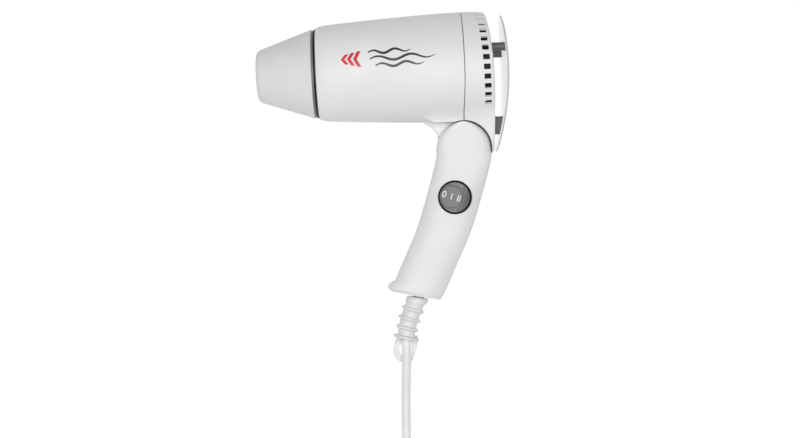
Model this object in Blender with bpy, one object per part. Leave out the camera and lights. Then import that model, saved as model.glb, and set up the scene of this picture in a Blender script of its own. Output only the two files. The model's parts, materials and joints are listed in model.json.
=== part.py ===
"""Folding travel hair dryer, modelled piece by piece.

Design frame, in millimetres: X runs along the barrel from the nozzle (-X) to the air intake (+X), Y points up
from the handle to the barrel, Z points to the side with the switch. The whole dryer then lies on its side on a
table: it is rolled about the barrel's axis until the end of its handle touches the table as well.
The helpers turn millimetres into metres when they make an object.
"""

from math import asin, atan2, ceil, cos, hypot, pi, radians, sin

import bmesh
import bpy
from mathutils import Matrix, Vector

MM = 0.001
GAP = 0.3  # left between solids that touch
WALL = 2.2  # thickness of the moulded shells
SIDES = 40  # facets round the barrel

# Barrel, rear housing and nozzle, turned about X
BARREL_RADIUS = 39.3
BARREL_FRONT = -103.2
BARREL_STATIONS = (BARREL_FRONT, -90.0, -75.0, -60.0, -45.0, -30.0, -15.0)
BARREL_TAPER = 5.4  # how much thinner the barrel is at its front lip
TAPER_POWER = 1.5
SEAM_X = 1.0  # where the barrel shell meets the rear housing
REAR_APEX = (22.5, -10.0)  # x and y where the rounded back stands out furthest
REAR_BEND_UP = 650.0  # the back falls forward by y * y / 650 above that, and by y * y / 1400 below it
REAR_BEND_DOWN = 1400.0
REAR_BEND_Z = 1300.0
REAR_PLATE = 1.6
SADDLE_FRONT = -21.5  # the barrel's square foot round the hinge
SADDLE_Y = -39.8
SADDLE_TOP = -30.0
SKIRT_Y = -62.7  # the lowest edge of the rear housing
NOZZLE_FRONT = -146.5
NOZZLE_REAR = -106.2
NOZZLE_REAR_RADIUS = 31.9
NOZZLE_FRONT_RADIUS = 18.0
NOZZLE_MOUTH_RADIUS = 12.8
NOZZLE_CORNER = 5.0
COLLAR_RADIUS = 30.2  # the nozzle's stepped back end
COLLAR_REAR = -104.7
SPIGOT_RADIUS = 28.4
SPIGOT_BORE = 26.2
SPIGOT_FRONT = -110.5
FLANGE_RADIUS = 31.9
FLANGE_SEAT_RADIUS = 31.3  # where it sits inside the barrel
FLANGE_X = (-104.4, -103.5, -101.6)
GRILLE_X = (-99.6, -97.8)
GRILLE_RINGS = (8.0, 17.5, 28.6)

# Air intake: windows in the shoulder, holes in the back, and the domed guard on its posts
WINDOW_COUNT = 27
WINDOW_PITCH = 10.4
WINDOW_WIDTH = 3.8
WINDOW_FROM_BACK = (7.0, 2.3)
HOLE_RADIUS = 3.6
HOLE_RINGS = ((26.0, 16), (15.5, 9))  # radius of the ring and number of its holes
POST_PLACE = (12.0, 24.0)  # y and z of the upper posts
POST_RADIUS = 3.1
LOWER_POST_Y = -42.9
LOWER_POST_HALF = (6.5, 3.0)
GUARD_APEX = (33.8, -1.0)  # x and y
GUARD_BEND_Y = 350.0  # the dome falls back by y * y / 350 and by z * z / 692
GUARD_BEND_Z = 692.0
GUARD_THICK = 1.6
GUARD_TOP = 35.8
GUARD_BOTTOM = -62.0
GUARD_SIDE = 33.0

# Heater, motor and fan
HEATER_X = (-95.0, -38.0)
BOARD_HALF = 25.5
BOARD_THICK = 1.0
HEAT_TUBE_RADIUS = 30.2
HEATER_WIRE_RADIUS = 0.9
MOTOR_X = (-27.0, -7.0)
MOTOR_RADIUS = 14.0
MOTOR_WALL = 1.2
MOUNT_RADII = (36.0, 34.2)
MOUNT_X = (-28.0, 10.5)
VANES = 7
SHAFT_RADIUS = 1.2
FAN_X = (-4.5, 8.0)
FAN_RADIUS = 32.5
FAN_BLADES = 9
BLADE_STATIONS = ((11.0, 48.0), (22.0, 60.0), (FAN_RADIUS, 68.0))  # radius, and pitch in degrees
SCREEN_X = (11.2, 12.8)
SCREEN_RINGS = ((30.5, 5.2), (19.0, 1.4), (7.0, 1.6))  # inner radius and width
SCREEN_COLLAR = (31.4, 32.8)  # radii of the collar behind the windows

# Fold hinge
PIVOT = Vector((-1.2, -59.05, 0.0))
HEAD_RADIUS = 19.4
CUTOUT_RADIUS = 20.1
EYE_RADIUS = 16.8
EYE_HALF = 6.0  # half thickness of the neck and its eye
CHEEK_INNER = 7.3  # half width of the slot between the handle's cheeks
SLOT_RADIUS = 31.0
SLOT_ANGLES = (98.0, 240.0)
PIN_RADIUS = 3.0
PIN_HALF = 14.4
NECK_ROOT = [(-26.5, -38.6), (-23.6, -41.4), (-19.9, -45.3), (-18.6, -49.5), (-17.2, -56.0), (-4.0, -50.0),
             (-4.0, -38.4)]

# Handle: points down its front edge and its back edge, and its half thickness
HANDLE_HALF = 17.5
HANDLE_END_HALF = 17.0
FRONT_EDGE = [(-20.6, -59.05), (-21.1, -64.6), (-27.9, -87.3), (-37.9, -115.7), (-51.5, -143.9),
              (-54.4, -150.4)]
BACK_EDGE = [(18.2, -59.05), (18.2, -67.2), (11.7, -89.2), (1.7, -117.6), (-11.9, -145.8), (-16.9, -156.4)]
END_SECTIONS = [((-59.2, -152.8), (-19.3, -160.6)), ((-60.3, -155.2), (-20.8, -163.3)),
                ((-57.9, -158.0), (-22.6, -165.8))]
HANDLE_SIDES = 24
HEAD_SECTION_ANGLES = (82.0, 68.0, 52.0, 36.0, 18.0)
HEAD_POWER = 5.0  # how square the handle's section is at its head
END_POWER = 2.8  # and from a third of its length onward
SCREWS = {"handle_screw_upper": (5.0, -82.8), "handle_screw_middle": (-24.0, -127.0)}
BOSS_RADIUS = 4.0
BOSS_REACH = 15.6
SCREW_RADIUS = 1.5
SCREW_HEAD_RADIUS = 3.0

# Switch on the handle's left side
SWITCH_CENTRE = Vector((-9.4, -93.3, 0.0))
SWITCH_LEAN = radians(19.4)
BEZEL_RADIUS = 12.0
ROCKER_RADIUS = 10.8
SWITCH_FACE = 17.6
ROCKER_PIVOT = SWITCH_CENTRE + Vector((0.0, 0.0, SWITCH_FACE - 1.6))

# Strain relief and cord
RELIEF_ROUTE = [(-33.6, -151.8), (-38.4, -163.2), (-42.9, -172.2), (-45.6, -179.0), (-47.5, -185.5),
                (-48.6, -193.4)]
RELIEF_NECK = 5.4
FLANGE_END = -9.2  # distances along the relief count from the outside of the handle's end
COLLAR = (0.9, 3.4)
RIB_PLACES = (10.0, 17.2, 24.0, 31.0)
RIB_HALF = 0.9
LOOP_TOP = -191.5
LOOP_OUTER = [(-55.4, -191.5), (-58.1, -199.5), (-58.2, -204.5), (-56.2, -208.2), (-52.0, -210.4), (-46.8, -211.0),
              (-44.2, -208.6), (-41.6, -201.0), (-39.6, -191.5)]
LOOP_INNER = [(-53.2, -194.2), (-55.8, -199.8), (-55.9, -203.9), (-54.2, -206.4), (-50.5, -207.8), (-46.8, -208.0),
              (-45.4, -204.0), (-44.3, -196.2), (-45.6, -194.2)]
LOOP_Z = (-8.0, -5.2)
CORD_RADIUS = 3.25
CORD_IN_HANDLE = [(-33.2, -151.0, 0.0), (-31.4, -146.0, 0.0), (-29.0, -139.0, 0.0)]
CLAMP_THICK = 2.4
WIRE_RADIUS = 1.1
BROWN_ROUTE = [(-27.9, -136.6, 1.6), (-31.0, -126.5, 2.0), (-25.0, -112.0, 0.0), (-17.0, -98.5, -3.4)]
BLUE_ROUTE = [(-28.1, -136.8, -1.4), (-20.6, -134.6, -2.0), (-15.4, -125.0, -3.0), (-9.0, -112.0, -5.0),
              (-3.4, -99.6, -3.4)]
COIL_CENTRE = Vector((-93.5, -317.0, 0.0))
COIL_RADII = (28.5, 35.0, 41.5)
COIL_HEIGHT = 19.5
COIL_BEVEL = 2.2
COIL_LEAVE = 25.6  # how far before and behind the coil's middle the cord meets it
TAIL_TURN_RADIUS = 30.0
TAIL_TURN_Y = COIL_CENTRE.y - 62.0
PLUG_START = Vector((COIL_CENTRE.x + COIL_RADII[-1] + 2 * TAIL_TURN_RADIUS, TAIL_TURN_Y + 12.0, 5.6))
PLUG_TILT = radians(13.0)
PLUG_FACE = 56.0  # from the boot's end to the face with the pins
PIN_PITCH = 19.0

# Rest on the table: the roll at which the handle's end comes down to the table
END_REACH = 159.5
ROLL = asin(BARREL_RADIUS / hypot(END_REACH, HANDLE_END_HALF)) - atan2(HANDLE_END_HALF, END_REACH)
TABLE_CENTRE = Vector((-56.4, -84.43, 0.0))  # the middle of the dryer's box, seen from above

FINISHES = {  # colour, roughness, metallic
    "white_plastic": ((0.83, 0.82, 0.81), 0.25, 0.0),
    "grey_plastic": ((0.60, 0.60, 0.60), 0.35, 0.0),
    "nozzle_plastic": ((0.70, 0.70, 0.70), 0.35, 0.0),
    "dark_plastic": ((0.09, 0.09, 0.09), 0.40, 0.0),
    "switch_grey": ((0.18, 0.19, 0.19), 0.45, 0.0),
    "post_grey": ((0.09, 0.09, 0.085), 0.45, 0.0),
    "relief_plastic": ((0.72, 0.71, 0.70), 0.40, 0.0),
    "cord_white": ((0.84, 0.83, 0.83), 0.40, 0.0),
    "mica": ((0.55, 0.42, 0.25), 0.50, 0.0),
    "nichrome": ((0.45, 0.43, 0.40), 0.35, 1.0),
    "steel": ((0.60, 0.60, 0.62), 0.30, 1.0),
    "brass": ((0.75, 0.55, 0.25), 0.30, 1.0),
    "copper": ((0.72, 0.38, 0.20), 0.35, 1.0),
    "board_green": ((0.05, 0.22, 0.10), 0.50, 0.0),
    "wire_brown": ((0.20, 0.08, 0.03), 0.45, 0.0),
    "wire_blue": ((0.03, 0.10, 0.40), 0.45, 0.0),
}


# ---------------------------------------------------------------- shapes, in millimetres


def smooth_curve(points, spacing):
    """Points about spacing apart on a smooth curve through the given points."""
    knots = [Vector(p) for p in points]
    knots = [2 * knots[0] - knots[1], *knots, 2 * knots[-1] - knots[-2]]
    line = []
    for before, a, b, after in zip(knots, knots[1:], knots[2:], knots[3:]):
        steps = max(1, ceil((b - a).length / spacing))
        for step in range(steps):
            t = step / steps
            line.append(
                0.5 * (2 * a + (b - before) * t + (2 * before - 5 * a + 4 * b - after) * t**2
                       + (3 * a - before - 3 * b + after) * t**3)
            )
    line.append(knots[-2])
    return line


def arc(centre, radius, start, end, steps):
    """Points of an arc about a centre (x, y), angles in degrees."""
    angles = [radians(start + (end - start) * k / steps) for k in range(steps + 1)]
    return [(centre[0] + radius * cos(a), centre[1] + radius * sin(a)) for a in angles]


def mesh_from(points, faces):
    bm = bmesh.new()
    corners = [bm.verts.new(p) for p in points]
    for face in faces:
        bm.faces.new([corners[k] for k in face])
    bmesh.ops.recalc_face_normals(bm, faces=bm.faces)
    return bm


def loft(rings, closed=False):
    """A solid through rings with the same number of points each, with flat ends or, if closed, joined round."""
    count = len(rings[0])
    points = [p for ring in rings for p in ring]
    faces = []
    pairs = len(rings) if closed else len(rings) - 1
    for i in range(pairs):
        a, b = i * count, (i + 1) % len(rings) * count
        for k in range(count):
            n = (k + 1) % count
            faces.append((a + k, a + n, b + n, b + k))
    if not closed:
        faces.append(tuple(range(count)))
        faces.append(tuple(range(len(points) - count, len(points))))
    return mesh_from(points, faces)


def turned(profile, sides=SIDES):
    """A ring or hollow piece turned about X from a closed outline of (x, radius)."""
    rings = []
    for k in range(sides):
        a = 2 * pi * k / sides
        rings.append([(x, r * cos(a), r * sin(a)) for x, r in profile])
    return loft(rings, closed=True)


def stepped_rod(stations, sides=SIDES):
    """A solid rod along X through stations of (x, radius)."""
    return loft([[(x, r * cos(2 * pi * k / sides), r * sin(2 * pi * k / sides)) for k in range(sides)]
                 for x, r in stations])


def prism(outline, low, high):
    """An outline of (x, y) points, extruded from z = low to z = high."""
    return loft([[(x, y, z) for x, y in outline] for z in (low, high)])


def block(low, high):
    return prism([(low[0], low[1]), (high[0], low[1]), (high[0], high[1]), (low[0], high[1])], low[2], high[2])


def upright_rod(centre, stations, sides=20):
    """A round rod along Z about centre, through stations of (z, radius)."""
    return loft([[(centre[0] + r * cos(2 * pi * k / sides), centre[1] + r * sin(2 * pi * k / sides), z)
                  for k in range(sides)] for z, r in stations])


def swept(line, radii, sides=12):
    """A round solid along a line, with a radius at each of its points."""
    line = [Vector(p) for p in line]
    side = Vector((0.0, 0.0, 1.0))
    if abs((line[1] - line[0]).normalized().z) > 0.9:
        side = Vector((1.0, 0.0, 0.0))
    rings = []
    for k, (point, radius) in enumerate(zip(line, radii)):
        along = (line[min(k + 1, len(line) - 1)] - line[max(k - 1, 0)]).normalized()
        side = (side - along * side.dot(along)).normalized()
        up = along.cross(side)
        rings.append([point + radius * (cos(2 * pi * n / sides) * side + sin(2 * pi * n / sides) * up)
                      for n in range(sides)])
    return loft(rings)


def moved(bm, matrix):
    bm.transform(matrix)
    return bm


def combined(body, tool, operation):
    """body with tool joined to it (UNION), cut from it (DIFFERENCE) or kept only where both are (INTERSECT)."""
    made = []
    for name, bm in (("body", body), ("tool", tool)):
        mesh = bpy.data.meshes.new(name)
        bm.to_mesh(mesh)
        bm.free()
        made.append(bpy.data.objects.new(name, mesh))
        bpy.context.scene.collection.objects.link(made[-1])
    modifier = made[0].modifiers.new("combine", "BOOLEAN")
    modifier.solver = "EXACT"
    modifier.operation = operation
    modifier.object = made[1]
    bpy.context.view_layer.update()
    result = bmesh.new()
    result.from_object(made[0], bpy.context.evaluated_depsgraph_get())
    for item in made:
        mesh = item.data
        bpy.data.objects.remove(item)
        bpy.data.meshes.remove(mesh)
    bmesh.ops.dissolve_degenerate(result, dist=0.002, edges=result.edges)
    return result


def joined(*pieces):
    body = pieces[0]
    for piece in pieces[1:]:
        body = combined(body, piece, "UNION")
    return body


def cut(body, *tools):
    for tool in tools:
        body = combined(body, tool, "DIFFERENCE")
    return body


def together(pieces):
    """Separate solids in one mesh, to cut or join them in one go."""
    whole = bmesh.new()
    for piece in pieces:
        mesh = bpy.data.meshes.new("part")
        piece.to_mesh(mesh)
        piece.free()
        whole.from_mesh(mesh)
        bpy.data.meshes.remove(mesh)
    return whole


# ---------------------------------------------------------------- objects


def finish_for(node, finish):
    colour, roughness, metallic = FINISHES[finish]
    made = bpy.data.materials.new(node)
    made.use_nodes = True
    shader = made.node_tree.nodes["Principled BSDF"]
    shader.inputs["Base Color"].default_value = (*colour, 1.0)
    shader.inputs["Roughness"].default_value = roughness
    shader.inputs["Metallic"].default_value = metallic
    made.diffuse_color = (*colour, 1.0)
    return made


def add(node, bm, finish, frame):
    """The node's object, from a mesh in the design frame, carried by one of the frames."""
    bm.transform(Matrix.Scale(MM, 4))
    bmesh.ops.recalc_face_normals(bm, faces=bm.faces)
    mesh = bpy.data.meshes.new(node)
    bm.to_mesh(mesh)
    bm.free()
    mesh.shade_smooth()
    mesh.set_sharp_from_angle(angle=radians(35))
    mesh.materials.append(finish_for(node, finish))
    made = bpy.data.objects.new(node, mesh)
    bpy.context.scene.collection.objects.link(made)
    made.parent = frame
    made.matrix_parent_inverse = Matrix.Translation(-Vector(frame["design_origin"]) * MM)
    return made


def make_frame(name, origin, parent=None, roll=0.0):
    """An empty at a point of the design frame. Pieces that turn or slide hang on one on their joint's axis."""
    made = bpy.data.objects.new(name, None)
    bpy.context.scene.collection.objects.link(made)
    made["design_origin"] = list(origin)
    made.parent = parent
    start = Vector(parent["design_origin"]) if parent else Vector((0.0, 0.0, 0.0))
    made.location = (Vector(origin) - start) * MM
    made.rotation_euler.x = roll
    return made


def make_frames():
    """table: design X and Y seen from above, z = 0 at the table. The others lie rolled on it."""
    table = make_frame("table_frame", (0.0, 0.0, 0.0))
    table.location = -TABLE_CENTRE * MM
    handle = make_frame("handle_frame", (0.0, 0.0, 0.0), table, ROLL)
    handle.location = (0.0, 0.0, BARREL_RADIUS * MM)
    head = make_frame("fold_axis", PIVOT, handle)
    return {
        "table": table,
        "handle": handle,
        "head": head,
        "nozzle": make_frame("nozzle_slide", (NOZZLE_REAR, 0.0, 0.0), head),
        "rotor": make_frame("rotor_axis", (0.0, 0.0, 0.0), head),
        "rocker": make_frame("rocker_axis", ROCKER_PIVOT, handle),
    }


# ---------------------------------------------------------------- barrel and rear housing


def barrel_radius(x):
    """The barrel swells in a long curve from its front lip to the seam."""
    return BARREL_RADIUS - BARREL_TAPER * (max(0.0, -x) / -BARREL_FRONT) ** TAPER_POWER


def shell_profile(stations, wall):
    outer = [(x, r) for x, r in stations]
    inner = [(x, r - wall) for x, r in reversed(stations)]
    return outer + inner


def hinge_cutout():
    return upright_rod(PIVOT, [(-30.0, CUTOUT_RADIUS), (30.0, CUTOUT_RADIUS)], SIDES)


def barrel_shell():
    stations = [(x, barrel_radius(x)) for x in BARREL_STATIONS]
    stations.append((SEAM_X - GAP / 2, BARREL_RADIUS))
    saddle = block((SADDLE_FRONT, SADDLE_Y, -HANDLE_HALF), (SEAM_X - GAP / 2, SADDLE_TOP, HANDLE_HALF))
    inside = stepped_rod([(x, r - WALL) for x, r in stations[3:-1]] + [(SEAM_X + 2.0, BARREL_RADIUS - WALL)])
    saddle = cut(saddle, inside, hinge_cutout())
    tube = cut(turned(shell_profile(stations, WALL)), hinge_cutout())
    pin_hole = upright_rod(PIVOT, [(-10.0, PIN_RADIUS + 0.1), (10.0, PIN_RADIUS + 0.1)])
    return cut(joined(tube, saddle, neck()), pin_hole)


def neck():
    """The tongue under the barrel, with the eye that the hinge pin goes through."""
    eye = upright_rod(PIVOT, [(-EYE_HALF, EYE_RADIUS), (EYE_HALF, EYE_RADIUS)], 36)
    return joined(eye, prism(NECK_ROOT, -EYE_HALF, EYE_HALF))


def rear_x(y, z):
    """The gently rounded back of the rear housing."""
    off = y - REAR_APEX[1]
    return REAR_APEX[0] - off**2 / (REAR_BEND_UP if off > 0.0 else REAR_BEND_DOWN) - z**2 / REAR_BEND_Z


def behind_back(inset):
    """Everything behind a surface that lies inset in front of the rear housing's back."""
    reach = 40.0
    across = [8.0 * k - 44.0 for k in range(12)]
    rings = []
    for k in range(21):
        y = 6.0 * k - 70.0
        face = [(rear_x(y, z) - inset, y, z) for z in across]
        rings.append([*face, (reach, y, across[-1]), (reach, y, across[0])])
    return loft(rings)


def windows():
    """A comb of small windows round the housing, each at the same distance from its back edge."""
    cutters = []
    for k in range(WINDOW_COUNT):
        angle = radians((k - WINDOW_COUNT // 2) * WINDOW_PITCH)
        back = rear_x(BARREL_RADIUS * cos(angle), BARREL_RADIUS * sin(angle))
        start, end = (back - distance for distance in WINDOW_FROM_BACK)
        window = block((start, 30.0, -WINDOW_WIDTH / 2), (end, 45.0, WINDOW_WIDTH / 2))
        cutters.append(moved(window, Matrix.Rotation(angle, 4, "X")))
    return together(cutters)


def rear_plate_holes():
    """Two rings of round intake holes, with none where the posts stand."""
    holes = []
    for ring_radius, count in HOLE_RINGS:
        for k in range(count):
            angle = 2 * pi * k / count
            y, z = ring_radius * cos(angle), ring_radius * sin(angle)
            from_post = hypot(y - POST_PLACE[0], abs(z) - POST_PLACE[1])
            if from_post > HOLE_RADIUS + POST_RADIUS:
                hole = stepped_rod([(15.0, HOLE_RADIUS), (30.0, HOLE_RADIUS)], 8)
                holes.append(moved(hole, Matrix.Translation((0.0, y, z))))
    return together(holes)


def rear_housing():
    start, end = SEAM_X + GAP / 2, REAR_APEX[0] + 1.0
    outside = [(start, BARREL_RADIUS), (8.0, BARREL_RADIUS - 0.1), (17.0, BARREL_RADIUS - 0.5),
               (end, BARREL_RADIUS - 0.8)]
    skirt = prism([(start, SADDLE_TOP), (end, SADDLE_TOP), (end, SKIRT_Y), (18.0, SKIRT_Y), (start, SADDLE_Y)],
                  -HANDLE_HALF, HANDLE_HALF)
    hollow = stepped_rod([(start - 1.0, BARREL_RADIUS - WALL), (end, BARREL_RADIUS - WALL - 0.8)])
    hollow = cut(hollow, behind_back(REAR_PLATE))
    body = cut(joined(stepped_rod(outside), skirt), behind_back(0.0), hollow)
    return cut(body, hinge_cutout(), windows(), rear_plate_holes())


def guard_x(y, z):
    """The outer face of the guard's dome."""
    return GUARD_APEX[0] - (y - GUARD_APEX[1]) ** 2 / GUARD_BEND_Y - z**2 / GUARD_BEND_Z


def rear_guard():
    """A dome with an egg outline: round above the axis, drawn out below it."""
    sides, bands = 36, 4
    outline = []
    for k in range(sides):
        angle = 2 * pi * k / sides
        reach = GUARD_TOP if sin(angle) > 0 else -GUARD_BOTTOM
        outline.append((reach * sin(angle), GUARD_SIDE * cos(angle)))
    shares = [(n + 1) / bands for n in range(bands)]
    levels = [(share, 0.0) for share in shares] + [(share, GUARD_THICK) for share in reversed(shares)]
    return loft([[(guard_x(y * share, z * share) - depth, y * share, z * share) for y, z in outline]
                 for share, depth in levels])


def guard_post(rim):
    """A post with the given rim of (y, z), from the rear housing to the inside of the guard's dome."""
    near = [(rear_x(y, z) + GAP, y, z) for y, z in rim]
    far = [(guard_x(y, z) - GUARD_THICK - GAP, y, z) for y, z in rim]
    return loft([near, far])


def upper_post(side):
    return guard_post(arc((POST_PLACE[0], side * POST_PLACE[1]), POST_RADIUS, 0.0, 330.0, 11))


def lower_post():
    half_y, half_z = LOWER_POST_HALF
    low, high = LOWER_POST_Y - half_y, LOWER_POST_Y + half_y
    return guard_post([(low, -half_z), (high, -half_z), (high, half_z), (low, half_z)])


# ---------------------------------------------------------------- front of the barrel


def front_ring():
    """The black spigot that the nozzle pushes onto, with the flange that shows in the gap."""
    front, seat, rear = FLANGE_X
    return turned([(SPIGOT_FRONT, SPIGOT_RADIUS), (front, SPIGOT_RADIUS), (front, FLANGE_RADIUS),
                   (seat, FLANGE_RADIUS), (seat, FLANGE_SEAT_RADIUS), (rear, FLANGE_SEAT_RADIUS),
                   (rear, SPIGOT_BORE), (SPIGOT_FRONT, SPIGOT_BORE)])


def nozzle():
    """A hollow cone that pushes over the spigot, with a narrower collar at its back."""
    slope = (NOZZLE_REAR_RADIUS - NOZZLE_FRONT_RADIUS) / (NOZZLE_REAR - NOZZLE_FRONT)
    corner = NOZZLE_CORNER
    bore = SPIGOT_RADIUS + GAP
    corner_centre = (NOZZLE_FRONT + corner, NOZZLE_FRONT_RADIUS - corner * (1.0 - 0.8 * slope))
    outer = [(COLLAR_REAR, COLLAR_RADIUS), (NOZZLE_REAR, COLLAR_RADIUS), (NOZZLE_REAR, NOZZLE_REAR_RADIUS),
             *arc(corner_centre, corner, 108.0, 180.0, 4), (NOZZLE_FRONT, NOZZLE_MOUTH_RADIUS)]
    inner = [(NOZZLE_FRONT + 2.0, NOZZLE_MOUTH_RADIUS),
             (NOZZLE_FRONT + 6.0, NOZZLE_FRONT_RADIUS + 6.0 * slope - 1.8),
             (SPIGOT_FRONT - 1.2, bore - 0.4), (SPIGOT_FRONT - 0.8, bore), (COLLAR_REAR, bore)]
    return turned(outer + inner)


def outlet_grille():
    """A disc of three rings on crossed bars."""
    width = 1.6
    front, back = GRILLE_X
    rings = [turned([(front, r + width), (back, r + width), (back, r), (front, r)], 24) for r in GRILLE_RINGS]
    bars = []
    for k in range(3):
        bar = block((front + 0.2, -29.4, -0.8), (back - 0.2, 29.4, 0.8))
        bars.append(moved(bar, Matrix.Rotation(pi * (k + 0.5) / 3, 4, "X")))
    return joined(*rings[:1], *bars, *rings[1:])


# ---------------------------------------------------------------- heater


def heat_tube():
    """The mica sleeve that keeps the heat off the barrel."""
    front, rear = HEATER_X[0] - 1.5, HEATER_X[1] + 4.0
    outer, inner = HEAT_TUBE_RADIUS, HEAT_TUBE_RADIUS - 1.0
    return turned([(front, outer), (rear, outer), (rear, inner), (front, inner)])


def mica_board(slot_low, slot_high):
    """One of the two crossed boards, slotted over half its length to let the other through."""
    board = block((HEATER_X[0], -BOARD_HALF, -BOARD_THICK / 2), (HEATER_X[1], BOARD_HALF, BOARD_THICK / 2))
    half = BOARD_THICK / 2 + GAP
    return cut(board, block((slot_low, -half, -5.0), (slot_high, half, 5.0)))


def heater_coil(start_x, turns, pitch):
    """Resistance wire wound round the edges of the crossed boards."""
    per_turn = 12
    radius = BOARD_HALF + 1.5
    line = []
    for k in range(per_turn * turns + 1):
        angle = 2 * pi * k / per_turn
        line.append((start_x + pitch * k / per_turn, radius * cos(angle), radius * sin(angle)))
    return swept(line, [HEATER_WIRE_RADIUS] * len(line), 6)


def thermostat():
    low, high = (-52.0, 4.0, BOARD_THICK / 2 + GAP), (-42.0, 16.0, 6.0)
    return block(low, high)


def thermal_fuse():
    rod = stepped_rod([(-54.0, 0.5), (-50.0, 0.5), (-49.8, 1.9), (-41.0, 1.9), (-40.8, 0.5), (-37.5, 0.5)], 12)
    return moved(rod, Matrix.Translation((0.0, -10.0, BOARD_THICK / 2 + GAP + 1.9)))


# ---------------------------------------------------------------- motor and fan


def motor_mount():
    """The tube that holds the motor in the barrel, with vanes that straighten the air."""
    tube_outer, tube_inner = MOUNT_RADII
    front, rear = MOUNT_X
    tube = turned([(front, tube_outer), (rear, tube_outer), (rear, tube_inner), (front, tube_inner)])
    front, rear = MOTOR_X[0] + 1.0, MOTOR_X[1] - 1.0
    outer, inner = MOTOR_RADIUS + 2.0, MOTOR_RADIUS + GAP
    sleeve = turned([(front, outer), (rear, outer), (rear, inner), (front, inner)], 36)
    vanes = []
    for k in range(VANES):
        vane = block((front + 1.0, outer - 0.8, -0.8), (rear - 1.0, tube_inner + 0.8, 0.8))
        vanes.append(moved(vane, Matrix.Rotation(2 * pi * (k + 0.5) / VANES, 4, "X")))
    return joined(tube, together(vanes), sleeve)


def motor_can():
    """A drawn steel cup, open at the front, with a bearing hole for the shaft."""
    bore = SHAFT_RADIUS + 0.08
    front, back = MOTOR_X
    inner = MOTOR_RADIUS - MOTOR_WALL
    hub_radius, hub_end = 3.5, back + 1.6
    return turned([(front, MOTOR_RADIUS), (back, MOTOR_RADIUS), (back, hub_radius), (hub_end, hub_radius),
                   (hub_end, bore), (back - MOTOR_WALL, bore), (back - MOTOR_WALL, inner), (front, inner)], 36)


def magnet(side):
    """A curved magnet inside the can."""
    outer, inner = MOTOR_RADIUS - MOTOR_WALL - GAP, 9.6
    rim = arc((0.0, 0.0), outer, -60.0, 60.0, 8) + arc((0.0, 0.0), inner, 60.0, -60.0, 8)
    ring = [[(x, side * y, z) for y, z in rim] for x in (MOTOR_X[0] + 2.5, MOTOR_X[1] - 2.5)]
    return loft(ring)


def motor_cap():
    """The plastic end of the motor, toward the heater."""
    front, back = MOTOR_X[0] - 3.0, MOTOR_X[0] - GAP
    bore = SHAFT_RADIUS + 0.08
    return turned([(front, MOTOR_RADIUS - 0.4), (back, MOTOR_RADIUS - 0.4), (back, bore), (front, bore)], 36)


def rectifier_board():
    """A round board behind the heater, that turns the mains into direct current for the motor."""
    front, back = MOTOR_X[0] - 6.6, MOTOR_X[0] - 5.2
    outer, inner = 13.0, 3.0
    return turned([(front, outer), (back, outer), (back, inner), (front, inner)], 24)


def motor_shaft():
    return stepped_rod([(MOTOR_X[0] - 4.4, SHAFT_RADIUS), (FAN_X[1] - 1.0, SHAFT_RADIUS)], 16)


def armature():
    """The wound drum that turns between the magnets."""
    radius, bore = 8.8, SHAFT_RADIUS + 0.05
    front, back = MOTOR_X[0] + 3.0, MOTOR_X[1] - 4.0
    return turned([(front, radius), (back, radius), (back, bore), (front, bore)], 24)


def fan():
    """An axial fan: a domed hub and blades twisted from root to tip."""
    bore = SHAFT_RADIUS + 0.05
    hub = turned([(FAN_X[0], 12.0), (FAN_X[1] - 4.0, 12.0), (FAN_X[1] - 0.6, 7.0), (FAN_X[1], bore),
                  (FAN_X[0], bore)], 27)
    blades = []
    for k in range(FAN_BLADES):
        rings = []
        for radius, pitch in BLADE_STATIONS:
            chord, thick = 5.0 + radius * 0.12, 0.7
            along = Vector((cos(radians(pitch)), 0.0, sin(radians(pitch)))) * chord
            across = Vector((-sin(radians(pitch)), 0.0, cos(radians(pitch)))) * thick
            centre = Vector(((FAN_X[0] + FAN_X[1] - 3.0) / 2, radius, 0.0))
            rings.append([centre - along - across, centre + along - across, centre + along + across,
                          centre - along + across])
        blades.append(moved(loft(rings), Matrix.Rotation(2 * pi * k / FAN_BLADES, 4, "X")))
    return joined(hub, together(blades))


def inlet_screen():
    """Three flat rings on a spider of bars in front of the fan, with a collar that stands behind the windows."""
    front, back = SCREEN_X
    inner, outer = SCREEN_COLLAR
    reach = REAR_APEX[0]
    collar = turned([(front + 0.3, outer), (reach, outer), (reach, inner), (front + 0.3, inner)])
    collar = cut(collar, behind_back(REAR_PLATE + 0.6))
    rings = [turned([(front, r + w), (back, r + w), (back, r), (front, r)], 24) for r, w in SCREEN_RINGS]
    bars = []
    for k in range(4):
        bar = block((front + 0.2, -31.5, -0.7), (back - 0.2, 31.5, 0.7))
        bars.append(moved(bar, Matrix.Rotation(pi * (k + 0.5) / 4, 4, "X")))
    return joined(rings[0], collar, *bars, *rings[1:])


# ---------------------------------------------------------------- handle


def oval(front, back, half, power):
    """A rounded section between a front and a back point (x, y), half thick on each side."""
    front, back = Vector((*front, 0.0)), Vector((*back, 0.0))
    centre, reach = (front + back) / 2, (back - front) / 2
    ring = []
    for k in range(HANDLE_SIDES):
        a = 2 * pi * (k + 0.5) / HANDLE_SIDES
        c, s = cos(a), sin(a)
        across = abs(c) ** (2 / power) * (1 if c > 0 else -1)
        up = abs(s) ** (2 / power) * (1 if s > 0 else -1)
        ring.append(centre + reach * across + Vector((0.0, 0.0, half * up)))
    return ring


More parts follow.
